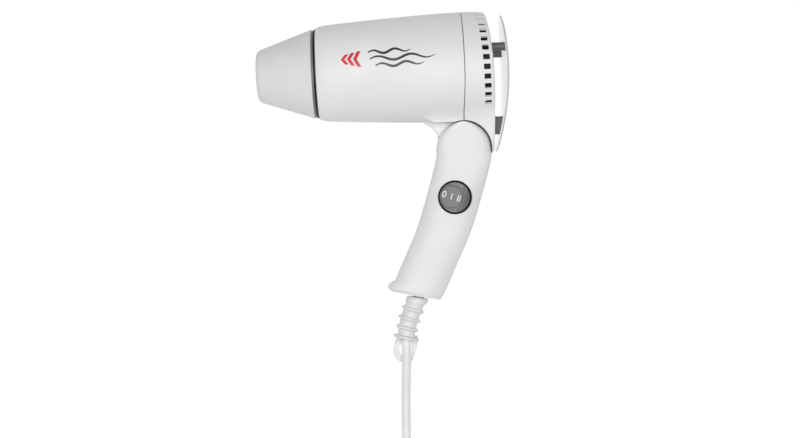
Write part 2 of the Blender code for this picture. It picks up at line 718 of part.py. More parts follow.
def handle_sections(inset):
    """Sections from the top of the round head to the handle's end, drawn in by inset."""
    rings = []
    if inset == 0.0:
        for angle in HEAD_SECTION_ANGLES:
            y = PIVOT.y + HEAD_RADIUS * sin(radians(angle))
            reach = HEAD_RADIUS * cos(radians(angle))
            rings.append(oval((PIVOT.x - reach, y), (PIVOT.x + reach, y), HANDLE_HALF, HEAD_POWER))
    front = smooth_curve([(*p, 0.0) for p in FRONT_EDGE], 12.0)
    back = smooth_curve([(*p, 0.0) for p in BACK_EDGE], 12.0)
    steps = 11
    for k in range(steps + 1):
        share = k / steps
        f, b = at_share(front, share), at_share(back, share)
        half = HANDLE_HALF + (HANDLE_END_HALF - HANDLE_HALF) * share
        power = HEAD_POWER + (END_POWER - HEAD_POWER) * min(1.0, share * 3.0)
        rings.append(inset_oval(f, b, half, power, inset))
    ends = END_SECTIONS if inset == 0.0 else END_SECTIONS[:1]
    for f, b in ends:
        half = HANDLE_END_HALF if (f, b) != END_SECTIONS[-1] else HANDLE_END_HALF - 1.8
        rings.append(inset_oval(Vector((*f, 0.0)), Vector((*b, 0.0)), half, END_POWER, inset))
    return rings


def inset_oval(front, back, half, power, inset):
    along = (back - front).normalized()
    f, b = front + along * inset, back - along * inset
    return oval((f.x, f.y), (b.x, b.y), half - inset, power)


def at_share(line, share):
    """The point at a share of a line's length."""
    lengths = [0.0]
    for a, b in zip(line, line[1:]):
        lengths.append(lengths[-1] + (b - a).length)
    target = share * lengths[-1]
    for k in range(len(line) - 1):
        if lengths[k + 1] >= target - 1e-9:
            return line[k].lerp(line[k + 1], (target - lengths[k]) / (lengths[k + 1] - lengths[k]))
    return line[-1]


def slot():
    """Room for the neck: a disc for its eye and a sector that its root sweeps as the handle folds."""
    centre = (PIVOT.x, PIVOT.y)
    eye = upright_rod(PIVOT, [(-CHEEK_INNER, EYE_RADIUS + 1.0), (CHEEK_INNER, EYE_RADIUS + 1.0)], 36)
    sector = prism([centre, *arc(centre, SLOT_RADIUS, *SLOT_ANGLES, 12)], -CHEEK_INNER, CHEEK_INNER)
    return joined(eye, sector)


def handle_shell(side):
    """One half of the handle: side 1 is the left half with the switch, side -1 the right half."""
    low, high = (GAP / 2, 30.0) if side > 0 else (-30.0, -GAP / 2)
    shell = combined(loft(handle_sections(0.0)), block((-90.0, -190.0, low), (50.0, -20.0, high)), "INTERSECT")
    hollow_top = PIVOT.y - 17.0
    hollow = [ring for ring in handle_sections(WALL + 0.2) if sum(p.y for p in ring) / len(ring) < hollow_top]
    shell = cut(shell, loft(hollow))
    low, high = (GAP / 2, BOSS_REACH) if side > 0 else (-BOSS_REACH, -GAP / 2)
    for place in SCREWS.values():
        shell = joined(shell, upright_rod(place, [(low, BOSS_RADIUS), (high, BOSS_RADIUS)]))
    pin_hole = upright_rod(PIVOT, [(-PIN_HALF - 0.4, PIN_RADIUS + GAP), (PIN_HALF + 0.4, PIN_RADIUS + GAP)])
    shell = cut(shell, slot(), pin_hole)
    for place in SCREWS.values():
        shell = cut(shell, screw_hole(place, side))
    if side > 0:
        radius = BEZEL_RADIUS - 0.5
        shell = cut(shell, upright_rod(SWITCH_CENTRE, [(9.0, radius), (30.0, radius)], 36))
    return cut(shell, relief_hole())


def screw_hole(place, side):
    """A blind hole in the left half; a through hole with a sink for the head in the right half."""
    radius = SCREW_RADIUS + GAP
    if side > 0:
        return upright_rod(place, [(-1.0, radius), (9.0, radius)], 16)
    sink = SCREW_HEAD_RADIUS + 0.5
    return upright_rod(place, [(-20.0, sink), (-11.0, sink), (-10.9, radius), (1.0, radius)], 16)


def handle_screw(place):
    head, shank = SCREW_HEAD_RADIUS, SCREW_RADIUS
    return upright_rod(place, [(-13.4, head), (-11.3, head), (-11.2, shank), (7.5, shank)], 16)


def hinge_pin():
    return upright_rod(PIVOT, [(-PIN_HALF, PIN_RADIUS), (PIN_HALF, PIN_RADIUS)])


def hinge_washer(side):
    """A friction washer between the neck's eye and a cheek."""
    middle = side * (EYE_HALF + CHEEK_INNER) / 2
    washer = upright_rod(PIVOT, [(middle - 0.3, 9.0), (middle + 0.3, 9.0)])
    return cut(washer, upright_rod(PIVOT, [(middle - 2.0, PIN_RADIUS + GAP), (middle + 2.0, PIN_RADIUS + GAP)]))


# ---------------------------------------------------------------- switch


def on_switch(bm):
    """From the switch's own axes (x across the handle, y along it) to the design frame."""
    return moved(bm, Matrix.Translation(SWITCH_CENTRE) @ Matrix.Rotation(-SWITCH_LEAN, 4, "Z"))


def switch_bezel():
    """A black rim with a skirt that goes down into the handle."""
    skirt_radius = BEZEL_RADIUS - 0.5 - GAP
    low = SWITCH_FACE + GAP
    rim = upright_rod((0.0, 0.0), [(SWITCH_FACE - 7.6, skirt_radius), (low, skirt_radius), (low, BEZEL_RADIUS),
                                   (low + 0.6, BEZEL_RADIUS - 0.3)], 36)
    bore = ROCKER_RADIUS + 0.35
    return on_switch(cut(rim, upright_rod((0.0, 0.0), [(0.0, bore), (30.0, bore)], 36)))


def rocker_top(x, radius):
    """Height of the rocker's top: dished toward the nozzle, and rising like a wedge on the other side."""
    edge = SWITCH_FACE - 0.3
    if x > -3.0:
        return edge + 0.09 * (x + 3.0)
    return edge - 0.5 * (1 - (radius / 11) ** 2)


def switch_rocker():
    """A round button with a plain underside that narrows to its middle."""
    edge = ROCKER_RADIUS
    under = [(6.5, SWITCH_FACE - 4.4), (edge - 0.2, SWITCH_FACE - 2.4), (edge, SWITCH_FACE - 1.2)]
    steps = 30
    turns = [2 * pi * k / steps for k in range(steps)]
    rings = [[(radius * cos(a), radius * sin(a), height) for a in turns] for radius, height in under]
    for radius in (ROCKER_RADIUS - 0.4, 6.5, 2.0):
        rings.append([(radius * cos(a), radius * sin(a), rocker_top(radius * cos(a), radius)) for a in turns])
    return on_switch(loft(rings))


def switch_body():
    return on_switch(block((-8.0, -9.5, 1.5), (8.0, 9.5, SWITCH_FACE - 8.4)))


def switch_terminal(offset):
    return on_switch(block((-0.4 + offset, -2.4, -5.0), (0.4 + offset, 2.4, 1.5 - GAP)))


# ---------------------------------------------------------------- strain relief, clamp and wires


def relief_line():
    return smooth_curve([(*p, 0.0) for p in RELIEF_ROUTE], 1.0)


def relief_hole():
    """The hole in the handle's end that the relief's neck goes through."""
    line = relief_line()[:20]
    return swept(line, [RELIEF_NECK + 0.4] * len(line), 24)


def relief_radius(s):
    """The relief's radius at s along it, counted from the outside of the handle's end."""
    if s < FLANGE_END:
        return 8.2
    if s < COLLAR[0]:
        return RELIEF_NECK
    if s < COLLAR[1]:
        return 7.5
    if any(abs(s - rib) <= RIB_HALF for rib in RIB_PLACES):
        return 8.0
    return 6.2 - 0.6 * s / RIB_PLACES[-1]


def strain_relief():
    """A ribbed sleeve with a flange inside the handle, and the loop that the dryer hangs from."""
    line = relief_line()
    length = 0.0
    places = [0.0]
    for a, b in zip(line, line[1:]):
        length += (b - a).length
        places.append(length)
    outside = (Vector((*RELIEF_ROUTE[1], 0.0)) - Vector((*RELIEF_ROUTE[0], 0.0))).length
    edges = [-outside + 0.8, FLANGE_END, COLLAR[0], COLLAR[1]]
    for rib in RIB_PLACES:
        edges += [rib - RIB_HALF, rib + RIB_HALF]
    stations = []
    for edge in edges:
        stations += [(edge - 0.02, relief_radius(edge - 0.06)), (edge + 0.02, relief_radius(edge + 0.06))]
    stations = stations[1:]
    stations[-1] = (stations[-2][0] + 0.03, 6.0)
    points = [at_share(line, min(1.0, (s + outside) / length)) for s, _ in stations]
    return joined(swept(points, [r for _, r in stations], 16), hanging_loop())


def hanging_loop():
    """A flat strap behind the cord that hangs in a U, with one arm broader than the other."""
    x = RELIEF_ROUTE[-1][0]
    loop = cut(prism(LOOP_OUTER, *LOOP_Z), prism(LOOP_INNER, LOOP_Z[0] - 1.0, LOOP_Z[1] + 1.0))
    foot = block((x - 6.5, LOOP_TOP - 1.0, LOOP_Z[0]), (x + 6.5, LOOP_TOP + 1.4, -2.0))
    return joined(foot, loop)


def cord_inner():
    """The cord from the strain relief to the clamp, inside the handle."""
    line = smooth_curve(CORD_IN_HANDLE, 6.0)
    return swept(line, [CORD_RADIUS] * len(line), 12)


def cord_clamp():
    """A bar across the cord, screwed to the handle's right half."""
    under = CORD_RADIUS + GAP
    return block((-39.0, -146.6, under), (-24.4, -140.6, under + CLAMP_THICK))


def clamp_screw(x):
    z = CORD_RADIUS + GAP + CLAMP_THICK + GAP
    return upright_rod((x, -143.6), [(z, 2.4), (z + 1.4, 2.4)], 16)


def wire(points):
    line = smooth_curve(points, 4.0)
    return swept(line, [WIRE_RADIUS] * len(line), 8)


# ---------------------------------------------------------------- cord, coil and plug, on the table


def on_table(point):
    """A point of the design frame, in the table's axes (z = 0 at the table)."""
    x, y, z = point
    return Vector((x, y * cos(ROLL) - z * sin(ROLL), y * sin(ROLL) + z * cos(ROLL) + BARREL_RADIUS))


def cord_route():
    """From the strain relief down to the table and along it to the coil's outermost turn."""
    start = on_table((*RELIEF_ROUTE[-1], 0.0)) + Vector((0.0, -0.8, 0.0))
    side = COIL_CENTRE.x + COIL_RADII[-1]
    lie = CORD_RADIUS + 0.05
    return [start, start + Vector((-0.4, -14.0, -2.2)), (-50.4, -226.0, 6.0), (-51.2, -244.0, 3.9),
            (-51.8, -262.0, lie), (side, -279.0, lie), (side, COIL_CENTRE.y + COIL_LEAVE, lie)]


def tail_route():
    """From the top of the coil down to the table and round a wide bend to the plug."""
    side, lie = COIL_CENTRE.x + COIL_RADII[-1], CORD_RADIUS + 0.3
    leave = COIL_CENTRE.y - COIL_LEAVE
    bend = arc((side + TAIL_TURN_RADIUS, TAIL_TURN_Y), TAIL_TURN_RADIUS, 180.0, 360.0, 6)
    return [(side, leave, 12.6), (side, leave - 14.0, 7.4), *[(x, y, lie) for x, y in bend], PLUG_START]


def cord_tube(node, route, frame):
    line = smooth_curve(route, 2.2 * 2 * CORD_RADIUS)
    curve = bpy.data.curves.new(node, "CURVE")
    curve.dimensions = "3D"
    curve.bevel_depth = CORD_RADIUS * MM
    curve.bevel_resolution = 2
    curve.use_fill_caps = True
    spline = curve.splines.new("POLY")
    spline.points.add(len(line) - 1)
    for point, place in zip(spline.points, line):
        point.co = (*(place * MM), 1.0)
    curve.materials.append(finish_for(node, "cord_white"))
    made = bpy.data.objects.new(node, curve)
    bpy.context.scene.collection.objects.link(made)
    made.parent = frame
    return made


def cord_coil():
    """The outer shape of the wound cord: a ring as wide and as high as its turns."""
    inner, outer = COIL_RADII[0] - CORD_RADIUS, COIL_RADII[-1] + CORD_RADIUS
    bevel = COIL_BEVEL
    profile = [(0.0, inner + bevel), (0.0, outer - bevel), (bevel, outer), (COIL_HEIGHT - bevel, outer),
               (COIL_HEIGHT, outer - bevel), (COIL_HEIGHT, inner + bevel), (COIL_HEIGHT - bevel, inner),
               (bevel, inner)]
    rings = []
    for k in range(36):
        a = 2 * pi * k / 36
        rings.append([COIL_CENTRE + Vector((r * cos(a), r * sin(a), z + 0.05)) for z, r in profile])
    return loft(rings, closed=True)


def cord_tie():
    """A band round the coil's turns, on the side away from the dryer."""
    inner, outer = COIL_RADII[0] - CORD_RADIUS - GAP, COIL_RADII[-1] + CORD_RADIUS + GAP
    y0, y1 = COIL_CENTRE.y - outer - 1.0, COIL_CENTRE.y - inner + 1.0
    x = COIL_CENTRE.x
    low, top, half = 0.0, COIL_HEIGHT + 2 * GAP + 1.0, 4.0
    frame = block((x - half, y0, top - 1.0), (x + half, y1, top))
    legs = [block((x - half, y0, low), (x + half, y0 + 0.9, top - 0.2)),
            block((x - half, y1 - 1.0 + 0.5, low), (x + half, y1 + 0.4, top - 0.2))]
    return joined(frame, *legs)


def on_plug(bm):
    """From the plug's own axes (y from its boot to its face) to the table's."""
    return moved(bm, Matrix.Translation(PLUG_START) @ Matrix.Rotation(PLUG_TILT, 4, "X"))


def plug_body():
    """A round two-pin plug with a tapered boot; its face stands on its rim."""
    stations = [(0.4, 4.6), (16.0, 6.2), (24.0, 9.0), (36.0, 13.2), (48.0, 16.2), (PLUG_FACE, 17.2)]
    rings = [[(r * cos(2 * pi * k / 28), y, r * sin(2 * pi * k / 28)) for k in range(28)] for y, r in stations]
    return on_plug(loft(rings))


def plug_pin(side):
    stations = [(PLUG_FACE + GAP, 2.4), (PLUG_FACE + 17.6, 2.4), (PLUG_FACE + 19.0, 1.3)]
    rings = [[(side * PIN_PITCH / 2 + r * cos(2 * pi * k / 12), y, r * sin(2 * pi * k / 12)) for k in range(12)]
             for y, r in stations]
    return on_plug(loft(rings))


# ---------------------------------------------------------------- assembly


def build_head(frames):
    head, rotor = frames["head"], frames["rotor"]
    middle = (HEATER_X[0] + HEATER_X[1]) / 2
    add("barrel_shell", barrel_shell(), "white_plastic", head)
    add("rear_housing", rear_housing(), "white_plastic", head)
    add("rear_guard", rear_guard(), "grey_plastic", head)
    add("post_upper_left", upper_post(1), "post_grey", head)
    add("post_upper_right", upper_post(-1), "post_grey", head)
    add("post_lower", lower_post(), "post_grey", head)
    add("front_ring", front_ring(), "dark_plastic", head)
    add("outlet_grille", outlet_grille(), "dark_plastic", head)
    add("heat_tube", heat_tube(), "mica", head)
    add("mica_board_upright", mica_board(HEATER_X[0] - 1.0, middle + GAP), "mica", head)
    flat = moved(mica_board(middle - GAP, HEATER_X[1] + 1.0), Matrix.Rotation(pi / 2, 4, "X"))
    add("mica_board_flat", flat, "mica", head)
    add("heater_coil_high", heater_coil(-91.0, 2, 9.0), "nichrome", head)
    add("heater_coil_low", heater_coil(-66.0, 2, 7.0), "nichrome", head)
    add("thermostat", thermostat(), "steel", head)
    add("thermal_fuse", thermal_fuse(), "steel", head)
    add("motor_mount", motor_mount(), "dark_plastic", head)
    add("motor_can", motor_can(), "steel", head)
    add("magnet_upper", magnet(1), "dark_plastic", head)
    add("magnet_lower", magnet(-1), "dark_plastic", head)
    add("motor_cap", motor_cap(), "dark_plastic", head)
    add("rectifier_board", rectifier_board(), "board_green", head)
    add("inlet_screen", inlet_screen(), "dark_plastic", head)
    add("motor_shaft", motor_shaft(), "steel", rotor)
    add("armature", armature(), "copper", rotor)
    add("fan", fan(), "dark_plastic", rotor)
    add("nozzle", nozzle(), "nozzle_plastic", frames["nozzle"])


def build_handle(frames):
    handle = frames["handle"]
    add("handle_left_shell", handle_shell(1), "white_plastic", handle)
    add("handle_right_shell", handle_shell(-1), "white_plastic", handle)
    for node, place in SCREWS.items():
        add(node, handle_screw(place), "steel", handle)
    add("hinge_pin", hinge_pin(), "steel", handle)
    add("hinge_washer_left", hinge_washer(1), "steel", handle)
    add("hinge_washer_right", hinge_washer(-1), "steel", handle)
    add("switch_bezel", switch_bezel(), "dark_plastic", handle)
    add("switch_body", switch_body(), "dark_plastic", handle)
    for k, offset in enumerate((-5.0, 0.0, 5.0)):
        add(f"switch_terminal_{k + 1}", switch_terminal(offset), "brass", handle)
    add("switch_rocker", switch_rocker(), "switch_grey", frames["rocker"])
    add("strain_relief", strain_relief(), "relief_plastic", handle)
    add("cord_inner", cord_inner(), "cord_white", handle)
    add("cord_clamp", cord_clamp(), "dark_plastic", handle)
    add("clamp_screw_front", clamp_screw(-37.0), "steel", handle)
    add("clamp_screw_rear", clamp_screw(-26.4), "steel", handle)
    add("wire_brown", wire(BROWN_ROUTE), "wire_brown", handle)
    add("wire_blue", wire(BLUE_ROUTE), "wire_blue", handle)


def build_cord(frames):
    table = frames["table"]
    cord_tube("cord", cord_route(), table)
    add("cord_coil", cord_coil(), "cord_white", table)
    cord_tube("cord_tail", tail_route(), table)
    add("cord_tie", cord_tie(), "dark_plastic", table)
    add("plug_body", plug_body(), "cord_white", table)
    add("plug_pin_left", plug_pin(-1), "steel", table)
    add("plug_pin_right", plug_pin(1), "steel", table)


def main():
    for item in list(bpy.data.objects):
        bpy.data.objects.remove(item)
    frames = make_frames()
    bpy.context.view_layer.update()
    build_head(frames)
    build_handle(frames)
    build_cord(frames)


main()
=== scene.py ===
"""The looks of a folding travel hair dryer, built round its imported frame.

Shapes are laid out in the dryer's design frame, in millimetres: X runs along the barrel from the nozzle
(-X) to the air intake (+X), Y points up from the handle to the barrel, and Z points to the side with the
switch. The frame's joints say where those axes are in the row frame. The cord and its plug are laid out on
the table: X and Y seen from above, z = 0 at the table.
"""

import json
from math import atan2, ceil, cos, exp, hypot, pi, radians, sin, sqrt

import bmesh
import bpy
from mathutils import Matrix, Vector


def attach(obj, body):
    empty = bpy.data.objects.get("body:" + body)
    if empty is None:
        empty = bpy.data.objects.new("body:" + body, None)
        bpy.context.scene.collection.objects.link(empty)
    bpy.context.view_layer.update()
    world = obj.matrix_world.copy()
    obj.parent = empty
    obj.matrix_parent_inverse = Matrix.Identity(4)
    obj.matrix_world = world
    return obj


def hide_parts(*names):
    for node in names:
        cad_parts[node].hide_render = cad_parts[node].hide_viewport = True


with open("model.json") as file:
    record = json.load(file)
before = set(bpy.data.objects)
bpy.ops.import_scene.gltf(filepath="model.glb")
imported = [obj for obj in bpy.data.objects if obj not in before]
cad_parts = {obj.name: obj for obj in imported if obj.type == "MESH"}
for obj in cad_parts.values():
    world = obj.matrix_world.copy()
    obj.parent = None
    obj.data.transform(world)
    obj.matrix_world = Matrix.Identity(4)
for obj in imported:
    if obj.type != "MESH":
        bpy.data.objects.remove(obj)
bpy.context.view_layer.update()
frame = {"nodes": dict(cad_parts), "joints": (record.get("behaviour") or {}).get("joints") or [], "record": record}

MM = 0.001
JOINTS = {joint["name"]: joint for joint in frame["joints"]}
NODE_SLOTS = {part["node"]: part["material_slot"] for part in frame["record"]["subparts"]}

# The design frame's axes and origin in the row frame
ALONG = -Vector(JOINTS["nozzle_pull"]["axis"]).normalized()
TOWARD = Vector(JOINTS["handle_fold"]["axis"]).normalized()
UPWARD = TOWARD.cross(ALONG)
ORIGIN = Vector(JOINTS["fan_spin"]["pos_m"])
DESIGN = (Matrix.Translation(ORIGIN) @ Matrix((ALONG, UPWARD, TOWARD)).transposed().to_4x4()
          @ Matrix.Scale(MM, 4))
TABLE = Matrix.Translation((ORIGIN.x, ORIGIN.y, 0.0)) @ Matrix.Scale(MM, 4)
PIVOT = DESIGN.inverted() @ Vector(JOINTS["handle_fold"]["pos_m"])


# ---- camera

VIEW_TARGET = Vector((-49.0, -106.8, 0.0))  # the middle of the view, on the dryer's middle plane
VIEW_DISTANCE = 1150.0
VIEW_ROLL = radians(-2.7)
LENS = 72.0
SENSOR = 36.0


def placed(name, data):
    """A new object in the scene."""
    made = bpy.data.objects.new(name, data)
    bpy.context.scene.collection.objects.link(made)
    return made


def make_camera():
    data = bpy.data.cameras.new("camera")
    data.lens = LENS
    data.sensor_width = SENSOR
    data.clip_start = 0.01
    made = placed("camera", data)
    right = Vector((cos(VIEW_ROLL), sin(VIEW_ROLL), 0.0))
    up = Vector((-sin(VIEW_ROLL), cos(VIEW_ROLL), 0.0))
    axes = DESIGN.to_3x3() @ Matrix((right, up, (0.0, 0.0, 1.0))).transposed()
    place = DESIGN @ (VIEW_TARGET + Vector((0.0, 0.0, VIEW_DISTANCE)))
    made.matrix_world = Matrix.Translation(place) @ axes.normalized().to_4x4()
    bpy.context.scene.camera = made


# ---- curves and meshes


def smooth_curve(points, spacing):
    """Points about spacing apart on a smooth curve through the given points."""
    knots = [Vector(p) for p in points]
    knots = [2 * knots[0] - knots[1], *knots, 2 * knots[-1] - knots[-2]]
    line = []
    for before, a, b, after in zip(knots, knots[1:], knots[2:], knots[3:]):
        steps = max(1, ceil((b - a).length / spacing))
        for step in range(steps):
            t = step / steps
            line.append(
                0.5 * (2 * a + (b - before) * t + (2 * before - 5 * a + 4 * b - after) * t**2
                       + (3 * a - before - 3 * b + after) * t**3)
            )
    line.append(knots[-2])
    return line


def arc(centre, radius, start, end, steps):
    """Points of an arc about a centre (x, y), angles in degrees."""
    angles = [radians(start + (end - start) * k / steps) for k in range(steps + 1)]
    return [(centre[0] + radius * cos(a), centre[1] + radius * sin(a)) for a in angles]


def all_round(count):
    """Angles at even steps round a full turn."""
    return [2 * pi * k / count for k in range(count)]


def quarter(steps):
    """Angles at even steps through a quarter of a turn."""
    return [radians(90 * k / steps) for k in range(steps + 1)]


def circle(radius, sides, centre=(0.0, 0.0)):
    return [(centre[0] + radius * cos(a), centre[1] + radius * sin(a)) for a in all_round(sides)]


def rectangle(x0, y0, x1, y1):
    return [(x0, y0), (x1, y0), (x1, y1), (x0, y1)]


def heading(line, k, closed=False):
    """The direction of a line at its point k."""
    if closed:
        return (line[(k + 1) % len(line)] - line[k - 1]).normalized()
    return (line[min(k + 1, len(line) - 1)] - line[max(k - 1, 0)]).normalized()


def bent(start, corner, end, t):
    """The point at t, from 0 to 1, of a curve that cuts a corner."""
    return tuple((1 - t) ** 2 * start + 2 * t * (1 - t) * corner + t**2 * end)


def at_share(line, share):
    """The point at a share of a line's length."""
    lengths = [0.0]
    for a, b in zip(line, line[1:]):
        lengths.append(lengths[-1] + (b - a).length)
    target = share * lengths[-1]
    for k in range(len(line) - 1):
        if lengths[k + 1] >= target - 1e-9:
            return line[k].lerp(line[k + 1], (target - lengths[k]) / (lengths[k + 1] - lengths[k]))
    return line[-1]


def smooth_step(value):
    t = max(0.0, min(1.0, value))
    return t * t * (3.0 - 2.0 * t)


def rounded(outline, radius, steps=4):
    """A closed outline of (x, y) points with each corner rounded by an arc of about that radius."""
    made = []
    count = len(outline)
    for k in range(count):
        before, here, after = (Vector(outline[(k + n) % count]) for n in (-1, 0, 1))
        reach = min(radius, (here - before).length * 0.45, (after - here).length * 0.45)
        start = here + (before - here).normalized() * reach
        end = here + (after - here).normalized() * reach
        made += [bent(start, here, end, step / steps) for step in range(steps + 1)]
    return made


def loft(rings, closed=False):
    """A solid through rings of equally many points, with flat ends or, if closed, joined round."""
    bm = bmesh.new()
    corners = [[bm.verts.new(p) for p in ring] for ring in rings]
    count = len(rings[0])
    pairs = list(zip(corners, corners[1:]))
    if closed:
        pairs.append((corners[-1], corners[0]))
    for a, b in pairs:
        for k in range(count):
            n = (k + 1) % count
            bm.faces.new((a[k], a[n], b[n], b[k]))
    if not closed:
        bm.faces.new(corners[0])
        bm.faces.new(corners[-1])
    bmesh.ops.recalc_face_normals(bm, faces=bm.faces)
    return bm


def turned(profile, sides=144):
    """A ring turned about X from a closed outline of (x, radius)."""
    return loft([[(x, r * cos(a), r * sin(a)) for x, r in profile] for a in all_round(sides)], closed=True)


def stepped_rod(stations, sides=64, centre=(0.0, 0.0)):
    """A solid rod along X through stations of (x, radius)."""
    return loft([[(x, y, z) for y, z in circle(r, sides, centre)] for x, r in stations])


def upright_rod(centre, stations, sides=64):
    """A solid rod along Z through stations of (z, radius)."""
    return loft([[(x, y, z) for x, y in circle(r, sides, centre)] for z, r in stations])


def prism(outline, low, high):
    """An outline of (x, y) points, extruded from z = low to z = high."""
    return loft([[(x, y, z) for x, y in outline] for z in (low, high)])


def soft_prism(outline, low, high, edge, share=None):
    """A prism whose two rims are rounded by edge, or by a share of it that depends on the point."""
    levels = [(low + edge * (1 - sin(a)), edge * (1 - cos(a))) for a in quarter(3)]
    levels += [(low + high - z, inset) for z, inset in levels]
    levels.sort()
    return loft([[(x, y, z) for x, y in inset_outline(outline, inset, share)] for z, inset in levels])


def inset_outline(outline, distance, share=None):
    """The outline drawn in by a distance, whichever way round it runs."""
    points = [Vector(p) for p in outline]
    area = sum(a.x * b.y - b.x * a.y for a, b in zip(points, points[1:] + points[:1]))
    turn = 1.0 if area > 0 else -1.0
    made = []
    for k, here in enumerate(points):
        along = heading(points, k, closed=True)
        reach = turn * distance * (share(here) if share else 1.0)
        made.append(here + reach * Vector((-along.y, along.x)))
    return made


def block(low, high):
    return prism(rectangle(low[0], low[1], high[0], high[1]), low[2], high[2])


def swept(line, radii, sides=32):
    """A round solid along a line, with a radius at each of its points."""
    line = [Vector(p) for p in line]
    side = Vector((0.0, 0.0, 1.0))
    rings = []
    for k, (point, radius) in enumerate(zip(line, radii)):
        along = heading(line, k)
        side = (side - along * side.dot(along)).normalized()
        up = along.cross(side)
        rings.append([point + radius * (x * side + y * up) for x, y in circle(1.0, sides)])
    return loft(rings)


def moved(bm, matrix):
    bm.transform(matrix)
    return bm


def as_mesh(name, bm):
    mesh = bpy.data.meshes.new(name)
    bm.to_mesh(mesh)
    bm.free()
    return mesh


def together(parts):
    """Separate solids in one mesh."""
    whole = bmesh.new()
    for part in parts:
        mesh = as_mesh("part", part)
        whole.from_mesh(mesh)
        bpy.data.meshes.remove(mesh)
    return whole


def combined(body, tool, operation):
    """body with tool joined to it (UNION), cut from it (DIFFERENCE) or kept where both are (INTERSECT)."""
    made = [placed(name, as_mesh(name, bm)) for name, bm in (("body", body), ("tool", tool))]
    modifier = made[0].modifiers.new("combine", "BOOLEAN")
    modifier.solver = "EXACT"
    modifier.operation = operation
    modifier.object = made[1]
    bpy.context.view_layer.update()
    result = bmesh.new()
    result.from_object(made[0], bpy.context.evaluated_depsgraph_get())
    for item in made:
        mesh = item.data
        bpy.data.objects.remove(item)
        bpy.data.meshes.remove(mesh)
    bmesh.ops.dissolve_degenerate(result, dist=0.002, edges=result.edges)
    return result


def joined(*parts):
    body = parts[0]
    for part in parts[1:]:
        body = combined(body, part, "UNION")
    return body


def cut(body, *tools):
    for tool in tools:
        body = combined(body, tool, "DIFFERENCE")
    return body


SHARP_ANGLE = 32.0  # degrees between faces, above which their edge is drawn sharp


def piece(name, bm, body, slot, replaces=(), space=DESIGN, sharp=SHARP_ANGLE, finish=None):
    """A finished piece that rides on a body, from a mesh laid out in the given space."""
    bm.transform(space)
    bmesh.ops.recalc_face_normals(bm, faces=bm.faces)
    mesh = as_mesh(name, bm)
    mesh.shade_smooth()
    mesh.set_sharp_from_angle(angle=radians(sharp))
    mesh.materials.append(FINISHES[finish or slot])
    made = placed(name, mesh)
    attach(made, body)
    if replaces:
        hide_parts(*replaces)
    return made


# ---- materials


def new_material(name):
    made = bpy.data.materials.new(name)
    made.use_nodes = True
    tree = made.node_tree
    return made, tree, tree.nodes["Principled BSDF"]


def set_inputs(node, values):
    for name, value in values.items():
        node.inputs[name].default_value = value


def object_coordinates(tree):
    return tree.nodes.new("ShaderNodeTexCoord").outputs["Object"]


def noise(tree, scale, detail=2.0, stretch=None):
    """Noise in the object's own coordinates; scale counts features per metre."""
    source = object_coordinates(tree)
    if stretch:
        mapping = tree.nodes.new("ShaderNodeMapping")
        mapping.inputs["Scale"].default_value = stretch
        tree.links.new(source, mapping.inputs["Vector"])
        source = mapping.outputs["Vector"]
    made = tree.nodes.new("ShaderNodeTexNoise")
    set_inputs(made, {"Scale": scale, "Detail": detail})
    tree.links.new(source, made.inputs["Vector"])
    return made.outputs["Fac"]


def blend_colours(tree, shader, factor, low, high, start=0.35, end=0.65):
    """The base colour goes from low to high as the factor goes from start to end."""
    ramp = tree.nodes.new("ShaderNodeValToRGB")
    for element, position, colour in zip(ramp.color_ramp.elements, (start, end), (low, high)):
        element.position = position
        element.color = (*colour, 1.0)
    tree.links.new(factor, ramp.inputs["Fac"])
    tree.links.new(ramp.outputs["Color"], shader.inputs["Base Color"])


def remapped(tree, value, source, target):
    """A value whose range source becomes the range target."""
    made = tree.nodes.new("ShaderNodeMapRange")
    set_inputs(made, dict(zip(("From Min", "From Max", "To Min", "To Max"), (*source, *target))))
    tree.links.new(value, made.inputs["Value"])
    return made.outputs["Result"]


def vary_roughness(tree, shader, factor, low, high):
    tree.links.new(remapped(tree, factor, (0.3, 0.7), (low, high)), shader.inputs["Roughness"])


def add_bump(tree, shader, height, depth, before=None):
    """A bump of the given depth in metres, on top of an earlier one."""
    bump = tree.nodes.new("ShaderNodeBump")
    bump.inputs["Distance"].default_value = depth
    tree.links.new(height, bump.inputs["Height"])
    if before:
        tree.links.new(before, bump.inputs["Normal"])
    tree.links.new(bump.outputs["Normal"], shader.inputs["Normal"])
    return bump.outputs["Normal"]


def shade(colour, share):
    return tuple(c * share for c in colour)


def surface(name, tones, clouds, roughness, polish, bumps, inputs, blend=(0.35, 0.65)):
    """A surface of two tones with an uneven roughness and bumps.

    clouds, polish and the first item of each bump are noises of (scale, detail, stretch); a bump's second
    item is its depth in metres.
    """
    made, tree, shader = new_material(name)
    blend_colours(tree, shader, noise(tree, *clouds), *tones, *blend)
    vary_roughness(tree, shader, noise(tree, *polish), *roughness)
    set_inputs(shader, inputs)
    normal = None
    for grain, depth in bumps:
        normal = add_bump(tree, shader, noise(tree, *grain), depth, normal)
    return made


def moulded(name, colour, roughness, specular=0.5, grain=1500.0, grain_depth=0.00001, variation=0.04):
    """Injection-moulded plastic: faint cloudiness, a fine grain and a patchy polish."""
    return surface(name, (shade(colour, 1.0 - variation), colour), (35.0, 3.0),
                   (roughness - 0.04, roughness + 0.05), (140.0, 3.0),
                   (((90.0, 1.0), 0.00004), ((grain, 2.0), grain_depth)), {"Specular IOR Level": specular})


